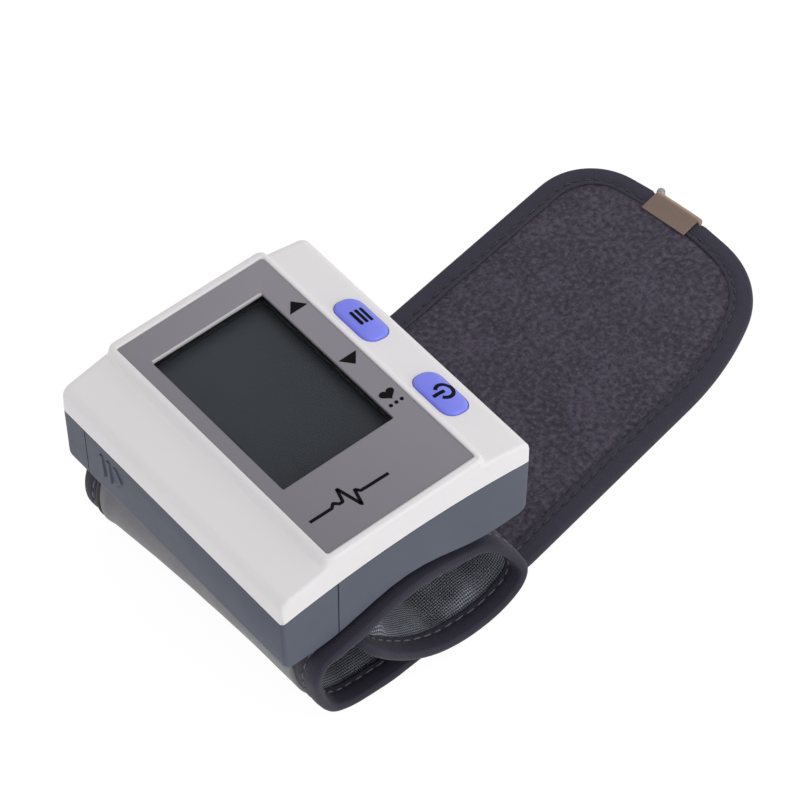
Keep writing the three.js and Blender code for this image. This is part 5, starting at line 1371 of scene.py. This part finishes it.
class MONITOR_OT_label(bpy.types.Operator):
    """Makes the label cloth on the left curl and the hook tape on the right curl"""

    bl_idname = "monitor.label"
    bl_label = "Label and hook tape"

    def execute(self, context):
        size = context.scene.monitor_trim
        thick = size.label_thickness / MM
        low, high = -roll.stops[LABEL_TOP_STOP], -roll.stops[LABEL_BOTTOM_STOP]
        q, y = np.meshgrid(
            np.linspace(low, high, 60), np.linspace(LABEL_FRONT_Y, LABEL_BACK_Y, 160), indexing="ij")
        from_side = np.minimum(y - LABEL_FRONT_Y, LABEL_BACK_Y - y)
        soft = smooth_step(np.minimum(np.minimum(q - low, high - q), from_side), 0.0, 0.6)
        ripple = 0.1 * lumps(q * 1.6, y * 0.5, 9.0, 21) + 0.04 * lumps(q, y, 4.0, 22)
        crease = 0.25 * np.exp(-((y - 29.5 - 0.15 * (q - low)) / 1.3) ** 2)
        cloth = thick * (LABEL_RIM + (1 - LABEL_RIM) * soft)
        h = -(LABEL_RISE + cloth + soft * (ripple + LABEL_SWELL + crease))
        slab = Surface()
        rolled_slab(slab, q, y, h)
        label = slab.piece("label_cloth", [self.label_material(tuple(size.label_colour))], math.radians(60))
        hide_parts("cuff_label")
        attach(label, "monitor")
        self.seam(low, high)
        self.hook()
        return {"FINISHED"}

    def label_material(self, colour):
        """Coated label cloth: a faint satin weave under a soft gloss, clouded in soft patches."""
        finish = Finish("label_satin", specular_ior_level=0.5, coat_weight=0.05, coat_roughness=0.35)
        cloth = finish.cloth_place()
        weave = finish.shared(
            "cross_threads", {"Cloth": cloth, "Along Pitch": 0.3, "Across Pitch": 0.3, "Width": 0.5})
        cloud = finish.noise(cloth, 0.12, 3.0, 0.6)
        dark = tint(colour, 0.82)
        base = finish.mix(cloud.remap(0.3, 0.7), dark, tint(colour, 1.2))
        finish.set(
            base_color=finish.mix(weave["Height"] * 0.15, base, dark),
            roughness=cloud.remap(0.3, 0.7, 0.36, 0.5))
        finish.bump(weave["Height"], 0.00003)
        return finish.material

    def seam(self, low, high):
        """A thin rolled seam along the label's back end, where it goes under the cloth."""
        t = circle(12)
        q = np.linspace(low, high, 60)[:, None]
        y = LABEL_BACK_Y + 0.55 + 0.1 * lumps(q, q * 0, 5.0, 8)
        cord = Surface()
        h = 0.3 * np.sin(t) - SEAM_DROP + 0 * q
        loft(cord, roll.place(q + 0 * t, y + SEAM_RADIUS * np.cos(t), h))
        dark = plastic("seam_edge", tone("1f1e24"), 0.7, grain=0.00003, scale=1800.0, depth=0.2)
        piece = cord.piece("label_seam", [dark], math.radians(60))
        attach(piece, "monitor")

    def hook(self):
        """Hook tape: a slab with rows of short bristle stubs drawn as bump."""
        low, high = -roll.stops[HOOK_BOTTOM_STOP], -roll.stops[HOOK_TOP_STOP]
        q, y = np.meshgrid(
            np.linspace(low, high, 40), np.linspace(-HOOK_HALF, HOOK_HALF, 90), indexing="ij")
        from_edge = np.minimum(np.minimum(q - low, high - q), HOOK_HALF - np.abs(y))
        slab = Surface()
        bristles = HOOK_THICKNESS * smooth_step(from_edge, 0.0, 1.0) + 0.05 * lumps(q, y, 1.5, 31)
        rolled_slab(slab, q, y, -(HOOK_RISE + bristles))
        hooks = woven("hook_tape", tone("5b5966"), tone("1b1a20"), 0.9, 0.35, 0.0005, sheen=0.1)
        piece = slab.piece("hook_tape", [hooks], math.radians(60))
        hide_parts("hook_patch")
        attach(piece, "monitor")


class MONITOR_OT_tab(bpy.types.Operator):
    """Folds the tape tab over the tongue's tip, with the metal pin in its fold"""

    bl_idname = "monitor.tab"
    bl_label = "Tab and pin"

    fold_radius = 1.85
    fold_out = -0.2
    half_width = 6.5
    # Where the tape starts to thin towards its side edges, and how much of it is lost there
    rim_start, rim_loss = 6.15, 0.55
    # The stretch over which the fold is filled on its inner side, and how deep
    fill_start, fill_end, fill_depth = -2.2, -1.4, 0.9

    def execute(self, context):
        size = context.scene.monitor_trim
        thick = size.tab_thickness / MM
        radius = self.fold_radius
        turn = np.linspace(-math.pi / 2, math.pi / 2, 17)
        bend = radius - thick / 2
        centre = np.array([self.fold_out - radius, radius])
        fold = centre + bend * np.stack([np.cos(turn), np.sin(turn)], -1)
        low = along([(-7.2, thick / 2), tuple(fold[0])], 12)[:-1]
        high = along([tuple(fold[-1]), (-3.6, 3.4), (-5.0, 3.2), (-7.3, 3.0)], 14)[1:]
        line = np.concatenate([low, fold, high])
        side = leftwards(np.gradient(line, axis=0))
        width = np.linspace(-self.half_width, self.half_width, 40)
        sag = 0.06 * lumps(run_along(line)[:, None], width[None, :], 4.0, 41)
        rim = 1 - self.rim_loss * smooth_step(np.abs(width), self.rim_start, self.half_width)[None, :]
        filled = smooth_step(line[:, 0], self.fill_start, self.fill_end)
        middle = len(low) + len(fold) // 2
        inner_side = np.sign((centre - line[middle]) @ side[middle])
        faces = []
        for sign in (1, -1):
            off = sign * thick / 2 * rim + sag * (line[:, None, 1] > radius)
            if sign * inner_side > 0:
                off = off + sign * self.fill_depth * filled[:, None]
            out, z = line.T[:, :, None] + side.T[:, :, None] * off
            faces.append(self.lay(out, np.broadcast_to(width, out.shape), np.maximum(z, 0.02)))
        ring = there_and_back(*faces)
        tab = Surface()
        uv = lattice(run_along(line), np.concatenate([width, width[::-1], width[:1]]))
        tab.add(ring, capped(ring, uv))
        colour = tuple(size.tab_colour)
        # Painted highlight along the top of the tab's fold, from 6.8 to 10 mm along the tape
        tan = woven(
            "tan_tape", colour, tint(colour, 0.6), 0.34, 0.5, 0.00005, sheen=0.1, roughness=0.6,
            highlight_band=(6.8, 10.0))
        piece = tab.piece("folded_tab", [tan], math.radians(50))
        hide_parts("tip_tab")
        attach(piece, "tongue")
        self.pin()
        return {"FINISHED"}

    def lay(self, out, run, z):
        """Turns places measured from the tongue's edge, outwards and along it, into X, Y, Z."""
        c, s = math.cos(TAB_TURN), math.sin(TAB_TURN)
        return np.stack([TAB_EDGE_X + out * c - run * s, TAB_Y + out * s + run * c, z], -1)

    def pin(self):
        """A straight pin: its radius follows a quarter circle at one end and a ball at the other."""
        radius, start, end, ball = 0.5, -5.9, 5.7, 1.1
        a = np.linspace(0.08, math.pi / 2, 8)
        t = circle(24)
        swing = np.linspace(math.asin(radius / ball), math.pi - 0.1, 12)
        straight = np.linspace(start + radius, end, 12)[1:]
        reach = np.concatenate([
            start + radius * (1 - np.cos(a)), straight, end + ball * (0.9 - np.cos(swing))])
        girth = np.concatenate([radius * np.sin(a), radius + 0 * straight, ball * np.sin(swing)])
        out = girth[:, None] * np.cos(t) - 1.4 + 1.6 * smooth_step(reach, 3.6, 6.3)[:, None]
        z = self.fold_radius + girth[:, None] * np.sin(t)
        pin = Surface()
        loft(pin, self.lay(out, np.broadcast_to(reach[:, None], out.shape), z))
        metal = plastic(
            "pin_steel", tone("8c898d"), 0.42, grain=0.000004, scale=5000.0, depth=0.1, metallic=1.0)
        piece = pin.piece("tab_pin_rod", [metal], math.radians(60))
        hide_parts("tab_pin")
        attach(piece, "tongue")


class MONITOR_OT_workings(bpy.types.Operator):
    """Gives the parts inside the housing and the cuff their finishes"""

    bl_idname = "monitor.workings"
    bl_label = "Workings"

    # Colour, roughness, metal and scale of the grain for each slot
    finishes = {
        "black_plastic": ("1d1e21", 0.5, 0.0, 2200.0), "board_green": ("1f5a3a", 0.4, 0.0, 1500.0),
        "steel": ("b8babd", 0.32, 1.0, 4000.0), "cell_wrap": ("8f9396", 0.32, 0.4, 900.0),
        "pump_plastic": ("d8d6cf", 0.5, 0.0, 2200.0), "black_rubber": ("2a2a2c", 0.8, 0.0, 1600.0),
        "silicone": ("d9dcd8", 0.55, 0.0, 1200.0), "hook_tape": ("4a4854", 0.9, 0.0, 900.0),
        "white_shell": ("efecee", 0.4, 0.0, 2500.0), "grey_shell": ("5a5f6c", 0.5, 0.0, 2500.0),
    }

    def execute(self, context):
        made = {}
        for name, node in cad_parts.items():
            if node.hide_render or name in ("display_lens", "lcd_glass"):
                continue
            slot = node.material_slots[0].material.name.split(".")[0]
            if slot not in self.finishes:
                slot = "black_plastic"
            if slot not in made:
                code, roughness, metallic, scale = self.finishes[slot]
                made[slot] = plastic(
                    "inside_" + slot, tone(code), roughness, scale=scale, depth=0.12, metallic=metallic)
            node.material_slots[0].material = made[slot]
        self.follow_cuff("cuff_curler", "curler_sheet", made["pump_plastic"], "pump_plastic")
        self.follow_cuff("air_bladder", "air_cushion", made["black_rubber"], "black_rubber")
        return {"FINISHED"}

    def follow_cuff(self, node, name, material, slot):
        """A copy of a sheet inside the cuff, cut across every few millimetres and bowed like the cuff."""
        piece = smooth_copy(node, name, "monitor", material, math.radians(30.0))
        mesh = piece.data
        work = bmesh.new()
        work.from_mesh(mesh)
        for y in np.arange(-36.0, 37.0, 6.0):
            whole = work.verts[:] + work.edges[:] + work.faces[:]
            bmesh.ops.bisect_plane(work, geom=whole, plane_co=(0, y * MM, 0), plane_no=(0, 1, 0))
        work.to_mesh(mesh)
        work.free()
        places = np.empty(len(mesh.vertices) * 3)
        mesh.vertices.foreach_get("co", places)
        bowed = roll.bowed(places.reshape(-1, 3) / MM) * MM
        mesh.vertices.foreach_set("co", bowed.ravel())


# Stage

FLOOR_HALF = 6000.0
FLOOR_GLOW = 1.08
LAMP_AIM = (0.03, 0.0, 0.03)
# Place, width and level of each lamp
LAMPS = (
    ((0.03, -0.05, 1.3), 1.1, 0.16), ((0.45, -0.95, 0.4), 0.8, 0.4), ((-1.3, -0.35, 0.5), 1.0, 0.19),
    ((1.2, 0.1, 0.5), 1.0, 0.17), ((0.2, 1.1, 0.7), 1.0, 0.06))


class MONITOR_OT_stage(bpy.types.Operator):
    """Sets up the floor, the soft studio light and the camera"""

    bl_idname = "monitor.stage"
    bl_label = "Stage"

    def execute(self, context):
        size = context.scene.monitor_stage
        self.camera()
        self.floor(size)
        self.sky(size)
        for place, width, level in LAMPS:
            self.lamp(place, width, level * size.lamp_level)
        return {"FINISHED"}

    def camera(self):
        """Camera at the photograph's viewing angle: its axes to the right, up and back, and its place."""
        data = bpy.data.cameras.new("photo_camera")
        data.lens = 199.07
        data.sensor_width = 36.0
        data.clip_start, data.clip_end = 0.01, 50.0
        camera = put("photo_camera", data)
        camera.matrix_world = Matrix((
            (0.76773, 0.50078, -0.39977, -0.35757), (-0.64078, 0.60000, -0.47897, -0.46328),
            (0.0, 0.62388, 0.78152, 0.79084), (0.0, 0.0, 0.0, 1.0)))
        bpy.context.scene.camera = camera

    def floor(self, size):
        """A wide plain floor, lifted to white for the camera, that keeps the object's shadow."""
        steps = np.array([-1, -1 / 8, 1 / 8, 1]) * FLOOR_HALF
        points = with_height(lattice(steps, steps), 0.0)
        top = grid(points, plain_uv(4, 4))
        mesh = bpy.data.meshes.new("floor")
        mesh.from_pydata((points.reshape(-1, 3) * MM).tolist(), [], top[0][:, ::-1].tolist())
        obj = put("floor", mesh)
        finish = Finish("floor", roughness=0.9, specular_ior_level=0.0)
        colour = tuple(size.floor_colour)
        pale = tuple(min(1.0, c) for c in tint(colour, 1.02))
        finish.set(base_color=finish.mix(finish.noise(finish.object_place(), 3.0), colour, pale))
        share = finish.seen_by("Camera", "Glossy", "Transmission") * size.floor_whiteness
        glow = finish.wire(
            "ShaderNodeEmission", {"Color": (1.0, 1.0, 1.0, 1.0), "Strength": FLOOR_GLOW})
        both = finish.mix_shader(share, Wire(finish, finish.shader.outputs[0]), glow)
        finish.feed(finish.tree.nodes["Material Output"].inputs["Surface"], both)
        mesh.materials.append(finish.material)

    def sky(self, size):
        """Even light from all round, seen as white by the camera and in reflections."""
        world = bpy.data.worlds.new("sky")
        world.use_nodes = True
        graph = Graph(world.node_tree)
        nodes = world.node_tree.nodes
        plain = nodes["Background"]
        plain.inputs["Color"].default_value = (1.0, 1.0, 1.0, 1.0)
        plain.inputs["Strength"].default_value = size.sky_level
        white = graph.wire("ShaderNodeBackground", {"Color": (1.0, 1.0, 1.0, 1.0), "Strength": 1.0})
        seen = graph.seen_by("Camera", "Glossy", "Transmission")
        both = graph.mix_shader(seen, Wire(graph, plain.outputs[0]), white)
        graph.feed(nodes["World Output"].inputs["Surface"], both)
        bpy.context.scene.world = world

    def lamp(self, place, width, level):
        """A soft square lamp; its power gives the level on a white surface that faces it."""
        data = bpy.data.lights.new("softbox", "AREA")
        data.shape = "SQUARE"
        data.size = width
        away = np.array(place) - LAMP_AIM
        data.energy = level * math.pi ** 2 * float(away @ away)
        obj = put("softbox", data)
        obj.location = place
        back = away / np.linalg.norm(away)
        right = np.cross([0.0, 1.0, 0.001], back)
        right /= np.linalg.norm(right)
        turn = Matrix(np.stack([right, np.cross(back, right), back], 1).tolist())
        obj.rotation_euler = turn.to_euler()


class MONITOR_PT_sidebar(bpy.types.Panel):
    """Lists the pieces of the monitor in the sidebar"""

    bl_idname = "MONITOR_PT_sidebar"
    bl_label = "Wrist monitor"
    bl_space_type = "VIEW_3D"
    bl_region_type = "UI"
    bl_category = "Monitor"

    def draw(self, context):
        for operator in operators:
            self.layout.operator(operator.bl_idname)
        for name in settings:
            box = self.layout.box()
            group = getattr(context.scene, name)
            for key in group.bl_rna.properties.keys():
                if key not in ("rna_type", "name"):
                    box.prop(group, key)


operators = (
    MONITOR_OT_housing, MONITOR_OT_display, MONITOR_OT_keys, MONITOR_OT_cuff, MONITOR_OT_binding,
    MONITOR_OT_label, MONITOR_OT_tab, MONITOR_OT_workings, MONITOR_OT_stage,
)
settings = {
    "monitor_housing": MonitorHousingSettings,
    "monitor_display": MonitorDisplaySettings,
    "monitor_keys": MonitorKeySettings,
    "monitor_cuff": MonitorCuffSettings,
    "monitor_trim": MonitorTrimSettings,
    "monitor_stage": MonitorStageSettings,
}


def register():
    """Registers the classes and gives the scene its groups of settings."""
    for kind in (*settings.values(), *operators, MONITOR_PT_sidebar):
        bpy.utils.register_class(kind)
    for name, kind in settings.items():
        setattr(bpy.types.Scene, name, PointerProperty(type=kind))


def unregister():
    """Takes away what register added, in the opposite order."""
    for name in settings:
        delattr(bpy.types.Scene, name)
    for kind in (MONITOR_PT_sidebar, *operators[::-1], *list(settings.values())[::-1]):
        bpy.utils.unregister_class(kind)


def main():
    """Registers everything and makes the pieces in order."""
    register()
    bpy.context.scene.view_settings.view_transform = "Standard"
    for operator in operators:
        group, call = operator.bl_idname.split(".")
        getattr(getattr(bpy.ops, group), call)()


if __name__ == "__main__":
    main()
